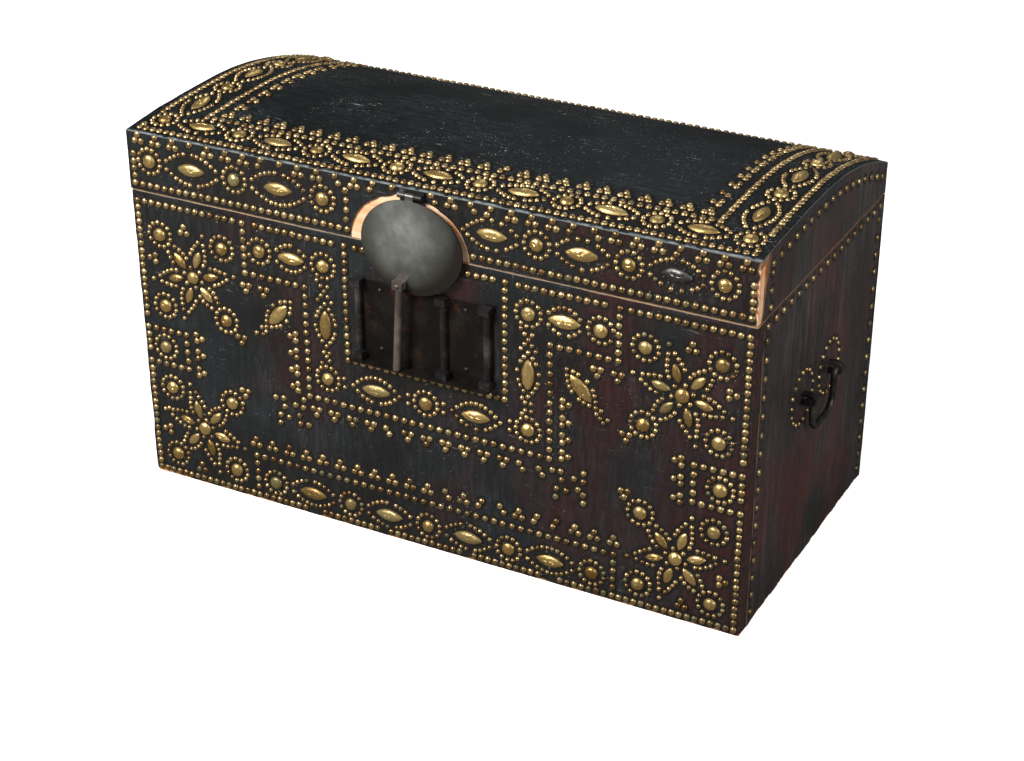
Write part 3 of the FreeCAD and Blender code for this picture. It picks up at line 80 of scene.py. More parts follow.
# Room and camera
FLOOR_REACH = 30.0
FLOOR_GLOW = 0.75
ROOM_LIGHT = 0.2
LENS = 72.4
SENSOR = 36.0
FARTHEST_SEEN = 100.0
CAMERA_PLACE = (1.2583, -2.3785, 1.5898)
CAMERA_LOOK = (-0.4108, 0.7813, -0.4700)
LIT_PLACE = (0.0, 0.0, 0.3)


# Where things are, taken from the fixed frame

def node_points(node):
    """All corners of a fixed node's mesh as rows of x, y, z."""
    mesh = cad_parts[node].data
    points = np.empty(3 * len(mesh.vertices), np.float32)
    mesh.vertices.foreach_get("co", points)
    return points.reshape(-1, 3).astype(float)


def node_box(node):
    low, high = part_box(node)
    return np.array(low), np.array(high)


BODY_LOW, BODY_HIGH = node_box("body_front_leather")
LID_LOW, LID_HIGH = node_box("lid_front_leather")
TOP_LOW, TOP_HIGH = node_box("lid_top_leather")
HALF = BODY_HIGH[0]
FRONT = BODY_LOW[1]
BACK = TOP_HIGH[1]
LAP = BODY_HIGH[1]
FOOT = BODY_LOW[2]
SEAM = BODY_HIGH[2]
LID_FOOT = LID_LOW[2]
MIDDLE = np.array([0.0, 0.0, SEAM / 2])


def arc_radius(half_chord, rise):
    """Radius of an arc that rises this much over half its chord: (c squared + r squared) / 2r."""
    return (half_chord ** 2 + rise ** 2) / (2 * rise)


class Arch:
    """The lid's outline from front to back: two arcs that share a level tangent at the crown."""

    def __init__(self, points):
        crown = points[points[:, 2].argmax()]
        self.crown_y = crown[1]
        self.crown_z = crown[2]
        front_top = points[points[:, 1] < FRONT + 0.1 * MM][:, 2].max()
        back_top = points[points[:, 1] > BACK - 0.1 * MM][:, 2].max()
        self.front_radius = arc_radius(self.crown_y - FRONT, self.crown_z - front_top)
        self.back_radius = arc_radius(BACK - self.crown_y, self.crown_z - back_top)
        self.front_run = self.front_radius * math.asin((self.crown_y - FRONT) / self.front_radius)
        self.back_run = self.back_radius * math.asin((BACK - self.crown_y) / self.back_radius)
        self.length = self.front_run + self.back_run

    def angle(self, run):
        """How far the surface has turned from level at a length measured over it from the front edge."""
        past_crown = run - self.front_run
        return past_crown / np.where(past_crown < 0, self.front_radius, self.back_radius)

    def place(self, run):
        """Depth and height there: the arc's centre plus its radius along the sine and cosine of the turn."""
        turn = self.angle(run)
        radius = np.where(run < self.front_run, self.front_radius, self.back_radius)
        return self.crown_y + radius * np.sin(turn), self.crown_z - radius + radius * np.cos(turn)

    def level(self, depth):
        """The arch's height at a depth: centre plus the root of radius squared less offset squared."""
        offset = depth - self.crown_y
        radius = np.where(offset < 0, self.front_radius, self.back_radius)
        return self.crown_z - radius + np.sqrt(radius ** 2 - offset ** 2)


ARCH = Arch(node_points("lid_top_leather"))


def seats(node):
    """Middle, outward direction, long direction, length and width of each head's flat underside.

    Each face of a head is a run of triangles that shares no corner with the next run. The run that is
    flat and wide is the underside, and the directions of its spread give its plane and its long axis."""
    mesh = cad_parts[node].data
    corners = np.empty(len(mesh.loops), np.int64)
    mesh.loops.foreach_get("vertex_index", corners)
    triangles = corners.reshape(-1, 3)
    points = node_points(node)
    highest = np.maximum.accumulate(triangles.max(1))
    lowest = np.minimum.accumulate(triangles.min(1)[::-1])[::-1]
    breaks = np.nonzero(highest[:-1] < lowest[1:])[0] + 1
    found = []
    for run in np.split(triangles, breaks):
        patch = points[np.unique(run)]
        middle = (patch.min(0) + patch.max(0)) / 2
        axes = np.linalg.svd(patch - middle, full_matrices=False)[2]
        reach = np.ptp((patch - middle) @ axes.T, axis=0)
        if reach[2] < FLAT and reach[1] > SMALLEST_HEAD:
            outward = axes[2] if axes[2] @ (middle - MIDDLE) > 0 else -axes[2]
            found.append(np.concatenate([middle, outward, axes[0], reach[:2]]))
    return np.array(found)


# Mesh making

def make_mesh(name, points, quads, triangles, values, sharp):
    """A mesh from whole arrays: points, faces of four and three sides, and a value per point by name."""
    quads = np.asarray(quads, np.int64).reshape(-1, 4)
    triangles = np.asarray(triangles, np.int64).reshape(-1, 3)
    corners = np.concatenate([quads.ravel(), triangles.ravel()]).astype(np.int32)
    sizes = np.concatenate([np.full(len(quads), 4), np.full(len(triangles), 3)])
    mesh = bpy.data.meshes.new(name)
    mesh.vertices.add(len(points))
    mesh.vertices.foreach_set("co", np.asarray(points, np.float32).ravel())
    mesh.loops.add(len(corners))
    mesh.loops.foreach_set("vertex_index", corners)
    mesh.polygons.add(len(sizes))
    starts = np.concatenate([[0], np.cumsum(sizes)[:-1]]).astype(np.int32)
    mesh.polygons.foreach_set("loop_start", starts)
    mesh.update(calc_edges=True)
    mesh.validate()
    mesh.shade_smooth()
    if sharp:
        mesh.set_sharp_from_angle(angle=math.radians(sharp))
    for label, value in values.items():
        layer = mesh.attributes.new(label, "FLOAT", "POINT")
        layer.data.foreach_set("value", np.asarray(value, np.float32).ravel())
    return mesh


def add_piece(name, mesh, finish, body, slot, *nodes):
    """A finished piece in place, riding on a body and standing for these fixed nodes."""
    piece = bpy.data.objects.new(name, mesh)
    bpy.context.scene.collection.objects.link(piece)
    piece.data.materials.append(finish)
    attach(piece, body)
    if nodes:
        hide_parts(*nodes)


def grid_faces(rows, columns, start, around):
    """Faces of a grid of points, row by row; around joins each row's last point to its first."""
    index = start + np.arange(rows * columns).reshape(rows, columns)
    if around:
        index = np.hstack([index, index[:, :1]])
    corners = (index[:-1, :-1], index[:-1, 1:], index[1:, 1:], index[1:, :-1])
    return np.stack(corners, -1).reshape(-1, 4)


def closed_sheet(outer, inner):
    """Points and faces of a thin sheet: an outer grid, an inner grid and a rim that joins their borders."""
    rows, columns = outer.shape[:2]
    count = rows * columns
    points = np.concatenate([outer.reshape(-1, 3), inner.reshape(-1, 3)])
    index = np.arange(count).reshape(rows, columns)
    border = np.concatenate([index[0, :-1], index[:-1, -1], index[-1, :0:-1], index[:0:-1, 0]])
    following = np.roll(border, -1)
    rim = np.stack([border, border + count, following + count, following], -1)
    faces = [grid_faces(rows, columns, 0, False), grid_faces(rows, columns, count, False)[:, ::-1], rim]
    return points, np.concatenate(faces)


def spread(length, step):
    """Distances from 0 to a length, evenly spaced but with a few closer lines at both ends."""
    near = np.array(EDGE_LINES)
    count = max(2, round((length - 2 * near[-1]) / step))
    middle = np.linspace(near[-1], length - near[-1], count + 1)
    return np.concatenate([near[:-1], middle, (length - near[:-1])[::-1]])


def waves(across, up, length, seed):
    """An uneven surface: the sum of eight sine waves of about this length that run in chance directions."""
    hand = np.random.default_rng(seed)
    total = np.zeros(np.broadcast(across, up).shape)
    for _ in range(8):
        turn = hand.uniform(0, TURN)
        stretch = length * hand.uniform(0.6, 1.6)
        run = across * math.cos(turn) + up * math.sin(turn)
        total += np.sin(TURN * run / stretch + hand.uniform(0, TURN))
    return total / 3


def ridge(distance, middle, width, power=2):
    """A smooth ridge: e to minus a power of the offset from its middle, measured in widths."""
    return np.exp(-((distance - middle) / width) ** power)


def soft_drop(distance, radius):
    """How far a rounded edge falls away: radius less the root of (radius squared less inside squared)."""
    inside = np.clip(radius - distance, 0, radius)
    return radius - np.sqrt(radius ** 2 - inside ** 2)


def dimples(places, heads):
    """How near each place of a grid lies to a head: one over the head, falling to zero over the reach."""
    near = np.zeros(places.shape[:2])
    for head in heads:
        window = np.abs(places - head[:3]).max(-1) < 4 * DIMPLE_REACH
        rows = np.nonzero(window.any(1))[0]
        columns = np.nonzero(window.any(0))[0]
        if len(rows) and len(columns):
            block = (slice(rows[0], rows[-1] + 1), slice(columns[0], columns[-1] + 1))
            away = np.linalg.norm(places[block] - head[:3], axis=-1) - head[9] / 2
            near[block] = np.maximum(near[block], np.exp(-np.maximum(away, 0) ** 2 / DIMPLE_REACH ** 2 * 4))
    return near


def make_hide(name, places, outwards, edge, fold, swell, heads, finish, body, *nodes):
    """A hide: a grid of places on its outside, lifted along outwards by its swell, sunk beside each head,
    rounded along its free edges, and closed behind at the hide's thickness. Fold is one on a crease."""
    near = dimples(places, heads)
    lift = swell - DIMPLE * near - soft_drop(edge, SOFT_EDGE) * EDGE_FALL
    outer = places + outwards * lift[..., None]
    inner = places - outwards * HIDE
    points, faces = closed_sheet(outer, inner)
    values = {
        "edge": np.tile(edge.ravel(), 2),
        "near": np.tile(near.ravel(), 2),
        "fold": np.tile(np.broadcast_to(fold, edge.shape).ravel(), 2),
    }
    mesh = make_mesh(name, points, faces, [], values, 50)
    add_piece(name, mesh, finish, body, "dark_leather", *nodes)


# Hides

def path_in_plan(corners, radius, step):
    """Places and outward directions along a line of corners seen from above, each rounded by an arc."""
    places = []
    outwards = []
    legs = len(corners) - 1
    for leg in range(legs):
        start, end = np.array(corners[leg]), np.array(corners[leg + 1])
        along = (end - start) / np.linalg.norm(end - start)
        outward = np.array([along[1], -along[0]])
        first = start + along * (radius if leg else 0)
        last = end - along * (radius if leg < legs - 1 else 0)
        count = max(2, round(np.linalg.norm(last - first) / step))
        share = np.linspace(0, 1, count + 1)[:, None]
        places.append(first + share * (last - first))
        outwards.append(np.repeat(outward[None], count + 1, 0))
        if leg < legs - 1:
            after = np.array(corners[leg + 2]) - end
            after = after / np.linalg.norm(after)
            centre = last - outward * radius
            turn = np.linspace(0, 1, 5)[1:-1, None] * math.pi / 2
            swept = outward * np.cos(turn) + np.array([after[1], -after[0]]) * np.sin(turn)
            places.append(centre + radius * swept)
            outwards.append(swept)
    return np.concatenate(places), np.concatenate(outwards)


def ragged_foot(run, height, span, depth, seed):
    """How far the foot of a hide is eaten away: bites of chance depth that fade out up the hide."""
    bites = np.clip(waves(run, 0 * run, 0.045, seed) + 0.6 * waves(run, 0 * run, 0.012, seed + 1), 0, 1.5)
    return depth * bites * (1 - height / span) ** 10


def make_body_front_hide(finish, heads):
    """One hide over the front and round both corners: a path in plan carried straight up."""
    corners = [(-HALF, LAP), (-HALF, FRONT), (HALF, FRONT), (HALF, LAP)]
    plan, plan_out = path_in_plan(corners, CORNER_RADIUS, HIDE_STEP)
    height = FOOT + spread(SEAM - FOOT, HIDE_STEP)
    shape = (len(height), len(plan))
    places = np.zeros(shape + (3,))
    places[..., :2] = plan
    places[..., 2] = height[:, None]
    outwards = np.zeros_like(places)
    outwards[..., :2] = plan_out
    run = np.concatenate([[0], np.cumsum(np.linalg.norm(np.diff(plan, axis=0), axis=1))])
    across = np.broadcast_to(run[None], shape)
    up = np.broadcast_to(height[:, None], shape)
    edge = np.minimum.reduce([SEAM - up, up - FOOT + 0.3 * MM, across, run[-1] - across])
    edge = np.clip(edge, 0, FAR_FROM_EDGE)
    foot = ragged_foot(across, up - FOOT, SEAM - FOOT, 1.6 * MM, 3)
    chip = CHIP * ridge(across, LAP - FRONT + CHIP_ACROSS, CHIP_ACROSS, 4)
    foot += chip * (1 + 0.3 * waves(across, 0 * up, 0.012, 4)) * (1 - (up - FOOT) / (SEAM - FOOT)) ** 10
    places[..., 2] += foot
    past_corner = places[..., 1] - FRONT
    folds = ridge(past_corner, 7 * MM, 1.6 * MM) + ridge(past_corner, 12 * MM, 1.8 * MM)
    corner = ridge(np.abs(places[..., 0]), HALF, 1.5 * MM) * ridge(past_corner, 0, 1.5 * MM)
    swell = 0.45 * MM * waves(across, up, 0.11, 1) + 0.25 * MM * waves(across, up, 0.03, 2)
    swell += 0.8 * MM * folds
    fold = np.clip(corner + 0.6 * folds, 0, 1)
    make_hide("front_hide", places, outwards, edge, fold, swell, heads, finish, "chest",
              "body_front_leather")


def make_flat_hide(name, node, right, outward, step, finish, body, heads, seed, open_sides):
    """A flat hide over an end or the back: a grid across and up its own box."""
    low, high = node_box(node)
    right, outward = np.array(right), np.array(outward)
    span = np.abs(right) @ (high - low)
    start = min(right @ low, right @ high)
    face = max(outward @ low, outward @ high)
    run = spread(span, step)
    height = spread(high[2] - low[2], step)
    across, up = np.meshgrid(run, height)
    places = right * (start + across)[..., None] + outward * face
    places[..., 2] = low[2] + up
    if low[2] < LID_FOOT - MM:
        places[..., 2] += ragged_foot(across, up, high[2] - low[2], 3.2 * MM, seed + 3)
    edges = [high[2] - low[2] - up, up + 0.3 * MM]
    if open_sides:
        edges += [across, span - across]
    edge = np.clip(np.minimum.reduce(edges), 0, FAR_FROM_EDGE)
    buckle = waves(0.3 * across, up, 0.05, seed + 2) * ridge(across, span, 25 * MM)
    swell = 0.5 * MM * waves(across, up, 0.12, seed) + 0.3 * MM * waves(across, up, 0.035, seed + 1)
    swell += MM * buckle
    outwards = np.broadcast_to(outward.astype(float), places.shape)
    make_hide(name, places, outwards, edge, 0.0, swell, heads, finish, body, node)


def make_lid_end_hide(name, node, side, finish, heads, seed):
    """An end of the lid: a grid of depths by shares of the arch's height; the right one's front is torn."""
    low, high = node_box(node)
    depth = low[1] + spread(high[1] - low[1], HIDE_STEP)
    share = spread(1, 1 / LID_END_ROWS)
    depths, shares = np.meshgrid(depth[::-side] if side < 0 else depth, share)
    top = ARCH.level(depths) - HIDE
    heights = LID_FOOT + shares * (top - LID_FOOT)
    if side > 0:
        tear = low[1] - FRONT + 2 * MM * waves(0 * heights, heights, 0.02, seed)
        lean = (heights - LID_FOOT) / (LID_HIGH[2] - LID_FOOT)
        torn = FRONT + tear + lean * TEAR_LEAN
        nearness = np.clip((high[1] - depths) / (high[1] - low[1]), 0, 1)
        depths = depths + np.clip(torn - low[1], 0, None) * nearness ** 6
    places = np.stack([np.full_like(depths, side * HALF), depths, heights], -1)
    edge = np.minimum(heights - LID_FOOT, depths - depths.min(1, keepdims=True))
    edge = np.clip(edge, 0, FAR_FROM_EDGE)
    swell = 0.3 * MM * waves(depths, heights, 0.1, seed) + 0.15 * MM * waves(depths, heights, 0.03, seed + 1)
    outwards = np.broadcast_to(np.array([float(side), 0.0, 0.0]), places.shape)
    make_hide(name, places, outwards, edge, 0.0, swell, heads, finish, "lid", node)


def window_level(across, seed):
    """The window's arched outline over the seam: half an oval, a little ragged; zero outside it."""
    inside = np.clip(1 - ((across - WINDOW_ACROSS) / WINDOW_HALF) ** 2, 0, 1)
    return WINDOW_RISE * np.sqrt(inside) * (1 + 0.012 * waves(across, 0 * across, 0.016, seed))


def make_lid_front_hide(finish, heads):
    """The lid's front: columns closer at the window's feet, rows from the window or the seam to the top."""
    left, right = LID_LOW[0], LID_HIGH[0]
    feet = WINDOW_ACROSS - WINDOW_HALF, WINDOW_ACROSS + WINDOW_HALF
    bow = WINDOW_ACROSS - WINDOW_HALF * np.cos(np.linspace(0, math.pi, WINDOW_COLUMNS))
    before = left + spread(feet[0] - left, HIDE_STEP)[:-1]
    after = feet[1] + spread(right - feet[1], HIDE_STEP)[1:]
    across = np.concatenate([before, bow, after])
    share = spread(1, 1 / LID_FRONT_ROWS)
    columns, shares = np.meshgrid(across, share)
    bottom = LID_FOOT + window_level(columns, 5)
    top = LID_HIGH[2]
    heights = bottom + shares * (top - bottom)
    torn = np.clip((columns - feet[1]) / (right - feet[1]), 0, 1) ** 40
    ragged = 1.4 * MM * waves(heights, 0 * heights, 0.018, 6) * torn
    places = np.stack([columns + ragged, np.full_like(columns, FRONT), heights], -1)
    sideways = WINDOW_HALF - np.abs(columns - WINDOW_ACROSS)
    beside = np.where(sideways < 0, np.hypot(sideways, np.maximum(heights - LID_FOOT - 30 * MM, 0)), 1)
    edge = np.minimum.reduce([heights - bottom, top - heights + 1.5 * MM, right - columns, beside])
    edge = np.clip(edge, 0, FAR_FROM_EDGE)
    curl = 0.9 * MM * np.exp(-edge / (4 * MM)) * (np.abs(sideways) < WINDOW_HALF)
    swell = 0.25 * MM * waves(columns, heights, 0.1, 7) + 0.15 * MM * waves(columns, heights, 0.03, 8) + curl
    outwards = np.broadcast_to(np.array([0.0, -1.0, 0.0]), places.shape)
    make_hide("lid_front_hide", places, outwards, edge, 0.0, swell, heads, finish, "lid",
              "lid_front_leather")


def make_lid_top_hide(finish, heads):
    """The lid's top: straight lines from end to end carried over the arch."""
    across = TOP_LOW[0] + spread(TOP_HIGH[0] - TOP_LOW[0], HIDE_STEP)
    run = spread(ARCH.length, HIDE_STEP)
    columns, runs = np.meshgrid(across, run)
    depth, height = ARCH.place(runs)
    turn = ARCH.angle(runs)
    places = np.stack([columns, depth, height], -1)
    outwards = np.stack([0 * turn, np.sin(turn), np.cos(turn)], -1)
    edge = np.minimum.reduce([runs, ARCH.length - runs, columns - TOP_LOW[0], TOP_HIGH[0] - columns])
    edge = np.clip(edge, 0, FAR_FROM_EDGE)
    swell = 0.45 * MM * waves(columns, runs, 0.14, 9) + 0.2 * MM * waves(columns, runs, 0.04, 10)
    lip = 0.5 * MM * ridge(runs, 3 * MM, 2 * MM)
    # The fold along the front lip takes a pale colour: wear and a painted highlight on the rolled edge.
    fold = ridge(runs, 0, 2 * MM)
    make_hide("lid_top_hide", places, outwards, edge, fold, swell + lip, heads, finish, "lid",
              "lid_top_leather")


# Brass heads

def circle(turn):
    return np.cos(turn), np.sin(turn)


def pointed_oval(turn):
    """Two full bows that meet in points: (cos t, sin t times the root of its own size)."""
    return np.cos(turn), np.sin(turn) * np.sqrt(np.abs(np.sin(turn)))


def make_heads(name, node, kind, body, seed):
    """Domed heads: rings of an outline that shrink towards a pole, lifted by (1 - share squared) to a power.

    Every head has its own small tilt, size and dent, and carries how dull and how green it is. A kind is the
    outline, the height, the rings' shares, the points of a ring, that power and the finish."""
    outline, height, rings, segments, roundness, finish = kind
    heads = seats(node)
    count = len(heads)
    hand = np.random.default_rng(seed)
    outward, along = heads[:, 3:6], heads[:, 6:9]
    across = np.cross(outward, along)
    lean = hand.normal(0, 0.045, (count, 2))
    tilted = outward + lean[:, :1] * along + lean[:, 1:] * across
    tilted /= np.linalg.norm(tilted, axis=1, keepdims=True)
    along = along - tilted * (along * tilted).sum(1, keepdims=True)
    along /= np.linalg.norm(along, axis=1, keepdims=True)
    across = np.cross(tilted, along)
    shares = np.array(rings)
    turn = TURN * np.arange(segments) / segments
    long_way, short_way = outline(turn)
    local_long = (shares[:, None] * long_way).ravel()
    local_short = (shares[:, None] * short_way).ravel()
    local_up = np.repeat((1 - shares ** 2) ** roundness, segments)
    local_up[-segments:] = -SUNK / height
    local_long = np.concatenate([[0], local_long, [0]])
    local_short = np.concatenate([[0], local_short, [0]])
    local_up = np.concatenate([[1], local_up, [-SUNK / height]])
    share_at = np.concatenate([[0], np.repeat(shares, segments), [1]])
    size = hand.uniform(0.94, 1.03, (count, 1))
    tall = height * hand.uniform(0.8, 1.0, (count, 1))
    dent = hand.normal(0, 0.06, (count, len(local_up))) * (share_at < 0.95) * height
    points = (
        heads[:, None, :3]
        + (size * heads[:, 9:10] / 2 * local_long)[..., None] * along[:, None]
        + (size * heads[:, 10:11] / 2 * local_short)[..., None] * across[:, None]
        + (tall * local_up + dent)[..., None] * tilted[:, None]
    )
    each = len(local_up)
    bands = grid_faces(len(shares), segments, 1, True)
    ring = np.arange(segments)
    top = np.stack([np.zeros(segments, int), 1 + ring, 1 + (ring + 1) % segments], -1)
    last = 1 + (len(shares) - 1) * segments
    under = np.stack([np.full(segments, each - 1), last + (ring + 1) % segments, last + ring], -1)
    starts = (each * np.arange(count))[:, None, None]
    quads = (bands[:, ::-1][None] + starts).reshape(-1, 4)
    triangles = (np.concatenate([top, under])[None] + starts).reshape(-1, 3)
    low_down = np.clip(1 - heads[:, 2] / (0.45 * SEAM), 0, 1)
    dull = np.clip(hand.beta(1.6, 2.2, count) + 0.35 * low_down, 0, 1)
    green = np.clip(hand.beta(1.0, 4.0, count) + 0.4 * low_down * hand.uniform(0, 1, count), 0, 1)
    values = {
        "dull": np.repeat(dull, each),
        "green": np.repeat(green, each),
        "rim": np.tile(share_at, count),
        "grey": np.repeat(grey_heads(heads), each),
    }
    mesh = make_mesh(name, points.reshape(-1, 3), quads, triangles, values, 60)
    add_piece(name, mesh, finish, body, "brass", node)
    return heads


def grey_heads(heads):
    """One for the single almond on the lid's front that has lost all its gilding."""
    on_front = np.abs(heads[:, 1] - FRONT) < MM
    aside = np.abs(heads[:, 0] - GREY_ALMOND_ACROSS)
    placed = (aside < GREY_ALMOND_REACH) & (heads[:, 2] > LID_FOOT)
    return (on_front & placed & (heads[:, 9] > LONG_HEAD)).astype(float)


# Finishes

class Finish:
    """A node tree written step by step; every step hands back the socket that carries its result."""

    def __init__(self, tree):
        self.tree = tree

    def node(self, kind, **settings):
        made = self.tree.nodes.new(kind)
        for name, value in settings.items():
            setattr(made, name, value)
        return made

    def feed(self, socket, value):
        if isinstance(value, bpy.types.NodeSocket):
            self.tree.links.new(value, socket)
        else:
            socket.default_value = value

    def calc(self, operation, first, second=0.0):
        made = self.node("ShaderNodeMath", operation=operation)
        self.feed(made.inputs[0], first)
        self.feed(made.inputs[1], second)
        return made.outputs[0]

    def times(self, first, second):
        return self.calc("MULTIPLY", first, second)

    def plus(self, first, second):
        return self.calc("ADD", first, second)

    def ramp(self, value, low, high):
        """Zero below low, one above high, straight between."""
        made = self.node("ShaderNodeMapRange", clamp=True)
        self.feed(made.inputs["Value"], value)
        self.feed(made.inputs["From Min"], low)
        self.feed(made.inputs["From Max"], high)
        return made.outputs["Result"]

    def between(self, share, first, second):
        """A colour that goes from the first to the second."""
        made = self.node("ShaderNodeMix", data_type="RGBA")
        self.feed(made.inputs[0], share)
        self.feed(made.inputs[6], first)
        self.feed(made.inputs[7], second)
        return made.outputs[2]

    def stretched(self, place, amounts):
        made = self.node("ShaderNodeVectorMath", operation="MULTIPLY")
        self.feed(made.inputs[0], place)
        self.feed(made.inputs[1], amounts)
        return made.outputs[0]

    def noise(self, place, scale, detail, roughness):
        made = self.node("ShaderNodeTexNoise")
        self.feed(made.inputs["Vector"], place)
        self.feed(made.inputs["Scale"], scale)
        self.feed(made.inputs["Detail"], detail)
        self.feed(made.inputs["Roughness"], roughness)
        return made.outputs["Fac"]

    def cells(self, place, scale):
        made = self.node("ShaderNodeTexVoronoi", feature="F1")
        self.feed(made.inputs["Vector"], place)
        self.feed(made.inputs["Scale"], scale)
        return made.outputs["Distance"]

    def place(self):
        return self.node("ShaderNodeTexCoord").outputs["Object"]

    def part(self, place, axis):
        made = self.node("ShaderNodeSeparateXYZ")
        self.feed(made.inputs[0], place)
        return made.outputs[axis]

    def value(self, name):
        return self.node("ShaderNodeAttribute", attribute_name=name).outputs["Fac"]

    def bump(self, height, depth, strength):
        made = self.node("ShaderNodeBump")
        self.feed(made.inputs["Height"], height)
        self.feed(made.inputs["Distance"], depth)
        self.feed(made.inputs["Strength"], strength)
        return made.outputs["Normal"]

    def effect(self, group, **values):
        """A shared effect placed with its own values; hands back its outputs."""
        made = self.node("ShaderNodeGroup")
        made.node_tree = group
        for name, value in values.items():
            self.feed(made.inputs[name], value)
        return made.outputs

    def surface(self, color, roughness, normal, metallic=0.0, specular=0.5):
        """The surface shader and the material's output."""
        shader = self.node("ShaderNodeBsdfPrincipled")
        self.feed(shader.inputs["Base Color"], color)
        self.feed(shader.inputs["Roughness"], roughness)
        self.feed(shader.inputs["Metallic"], metallic)
        self.feed(shader.inputs["Normal"], normal)
        shader.inputs["Specular IOR Level"].default_value = specular
        output = self.node("ShaderNodeOutputMaterial")
        self.tree.links.new(shader.outputs[0], output.inputs["Surface"])


def make_effect(name, inputs, outputs, write):
    """A shared effect: a node group with named inputs and outputs, filled in by a function."""
    tree = bpy.data.node_groups.new(name, "ShaderNodeTree")
    for label, kind in inputs:
        tree.interface.new_socket(label, in_out="INPUT", socket_type="NodeSocket" + kind)
    for label, kind in outputs:
        tree.interface.new_socket(label, in_out="OUTPUT", socket_type="NodeSocket" + kind)
    entry = tree.nodes.new("NodeGroupInput")
    leave = tree.nodes.new("NodeGroupOutput")
    for label, socket in write(Finish(tree), entry.outputs).items():
        tree.links.new(socket, leave.inputs[label])
    return tree


def new_finish(name):
    material = bpy.data.materials.new(name)
    material.use_nodes = True
    material.node_tree.nodes.clear()
    return material, Finish(material.node_tree)


def write_blotches(f, given):
    """Soft uneven patches."""
    noise = f.noise(given["Place"], given["Scale"], 5.0, 0.6)
    return {"Mask": f.ramp(noise, given["Low"], given["High"])}


def write_fibres(f, given):
    """Fine streaks that run along the direction in which the place is squeezed."""
    drawn = f.stretched(given["Place"], given["Stretch"])
    coarse = f.noise(drawn, given["Scale"], 3.0, 0.6)
    fine = f.noise(drawn, f.times(given["Scale"], 3.7), 2.0, 0.5)
    height = f.plus(f.times(coarse, 0.65), f.times(fine, 0.35))
    return {"Mask": f.ramp(height, 0.44, 0.62), "Height": height}


def write_pebbles(f, given):
    """The grain of old hide: small rounded cells with creases between them, over a soft unevenness."""
    warp = f.noise(given["Place"], f.times(given["Scale"], 0.15), 3.0, 0.6)
    cell = f.cells(given["Place"], given["Scale"])
    height = f.plus(f.times(cell, -0.6), f.times(warp, 0.9))
    return {"Height": height}


def write_scuffs(f, given):
    """Thin scratches and small specks where stretched and fine noise both run high."""
    drawn_up = f.stretched(given["Place"], (1.0, 1.0, 0.07))
    sideways = f.noise(drawn_up, given["Scale"], 2.0, 0.6)
    drawn_along = f.stretched(given["Place"], (0.12, 1.0, 1.0))
    lengthways = f.noise(drawn_along, f.times(given["Scale"], 0.8), 2.0, 0.6)
    specks = f.noise(given["Place"], f.times(given["Scale"], 1.3), 1.0, 0.5)
    patch = f.ramp(f.noise(given["Place"], 9.0, 3.0, 0.6), 0.42, 0.62)
    scratch = f.calc("MAXIMUM", f.ramp(sideways, 0.70, 0.76), f.ramp(lengthways, 0.70, 0.76))
    speck = f.ramp(specks, 0.72, 0.77)
    both = f.calc("MAXIMUM", f.times(scratch, 0.7), speck)
    return {"Mask": f.times(f.times(both, patch), given["Amount"])}


def write_raw_edge(f, given):
    """Bare, chafed hide near a free edge, its width broken up by noise."""
    broken = f.noise(given["Place"], 140.0, 3.0, 0.6)
    reach = f.times(f.times(given["Width"], broken), 2.0)
    left = f.calc("SUBTRACT", reach, given["Edge"])
    return {"Mask": f.ramp(f.calc("DIVIDE", left, given["Width"]), 0.0, 0.45)}


def write_rust(f, given):
    """Rust: coarse patches broken by fine pits."""
    coarse = f.noise(given["Place"], given["Scale"], 6.0, 0.68)
    pits = f.noise(given["Place"], f.times(given["Scale"], 9.0), 4.0, 0.7)
    height = f.plus(f.times(coarse, 0.4), f.times(pits, 0.6))
    sum_up = f.plus(f.times(coarse, 0.7), f.times(pits, 0.3))
    start = f.calc("SUBTRACT", 0.72, f.times(given["Amount"], 0.36))
    mask = f.ramp(sum_up, start, f.plus(start, 0.12))
    return {"Mask": mask, "Height": height}


PLACE = ("Place", "Vector")
SCALE = ("Scale", "Float")
MASK = [("Mask", "Float")]
BLOTCHES = make_effect("blotches", [PLACE, SCALE, ("Low", "Float"), ("High", "Float")], MASK, write_blotches)
FIBRES = make_effect("fibres", [PLACE, SCALE, ("Stretch", "Vector")], MASK + [("Height", "Float")],
                     write_fibres)
PEBBLES = make_effect("pebbles", [PLACE, SCALE], [("Height", "Float")], write_pebbles)
SCUFFS = make_effect("scuffs", [PLACE, SCALE, ("Amount", "Float")], MASK, write_scuffs)
RAW_EDGE = make_effect("raw_edge", [PLACE, ("Edge", "Float"), ("Width", "Float")], MASK, write_raw_edge)
RUST = make_effect("rust", [PLACE, SCALE, ("Amount", "Float")], MASK + [("Height", "Float")], write_rust)


def shade(red, green, blue):
    """A colour as it is named on a paint card, 0 to 255 each, turned into linear light."""
    parts = [c / 255 for c in (red, green, blue)]
    linear = [c / 12.92 if c <= 0.04045 else ((c + 0.055) / 1.055) ** 2.4 for c in parts]
    return (*linear, 1.0)


HEAD_DIRT_AND_SHADE = shade(12, 9, 8)
SCRATCHED = shade(176, 172, 166)
VERDIGRIS = shade(74, 84, 62)
RIM_DIRT_AND_SHADE = shade(70, 52, 34)
DEEP_PIT = shade(38, 26, 14)
BARE_METAL = shade(88, 88, 86)
GRIME = shade(96, 52, 28)
WHITE = (1.0, 1.0, 1.0, 1.0)


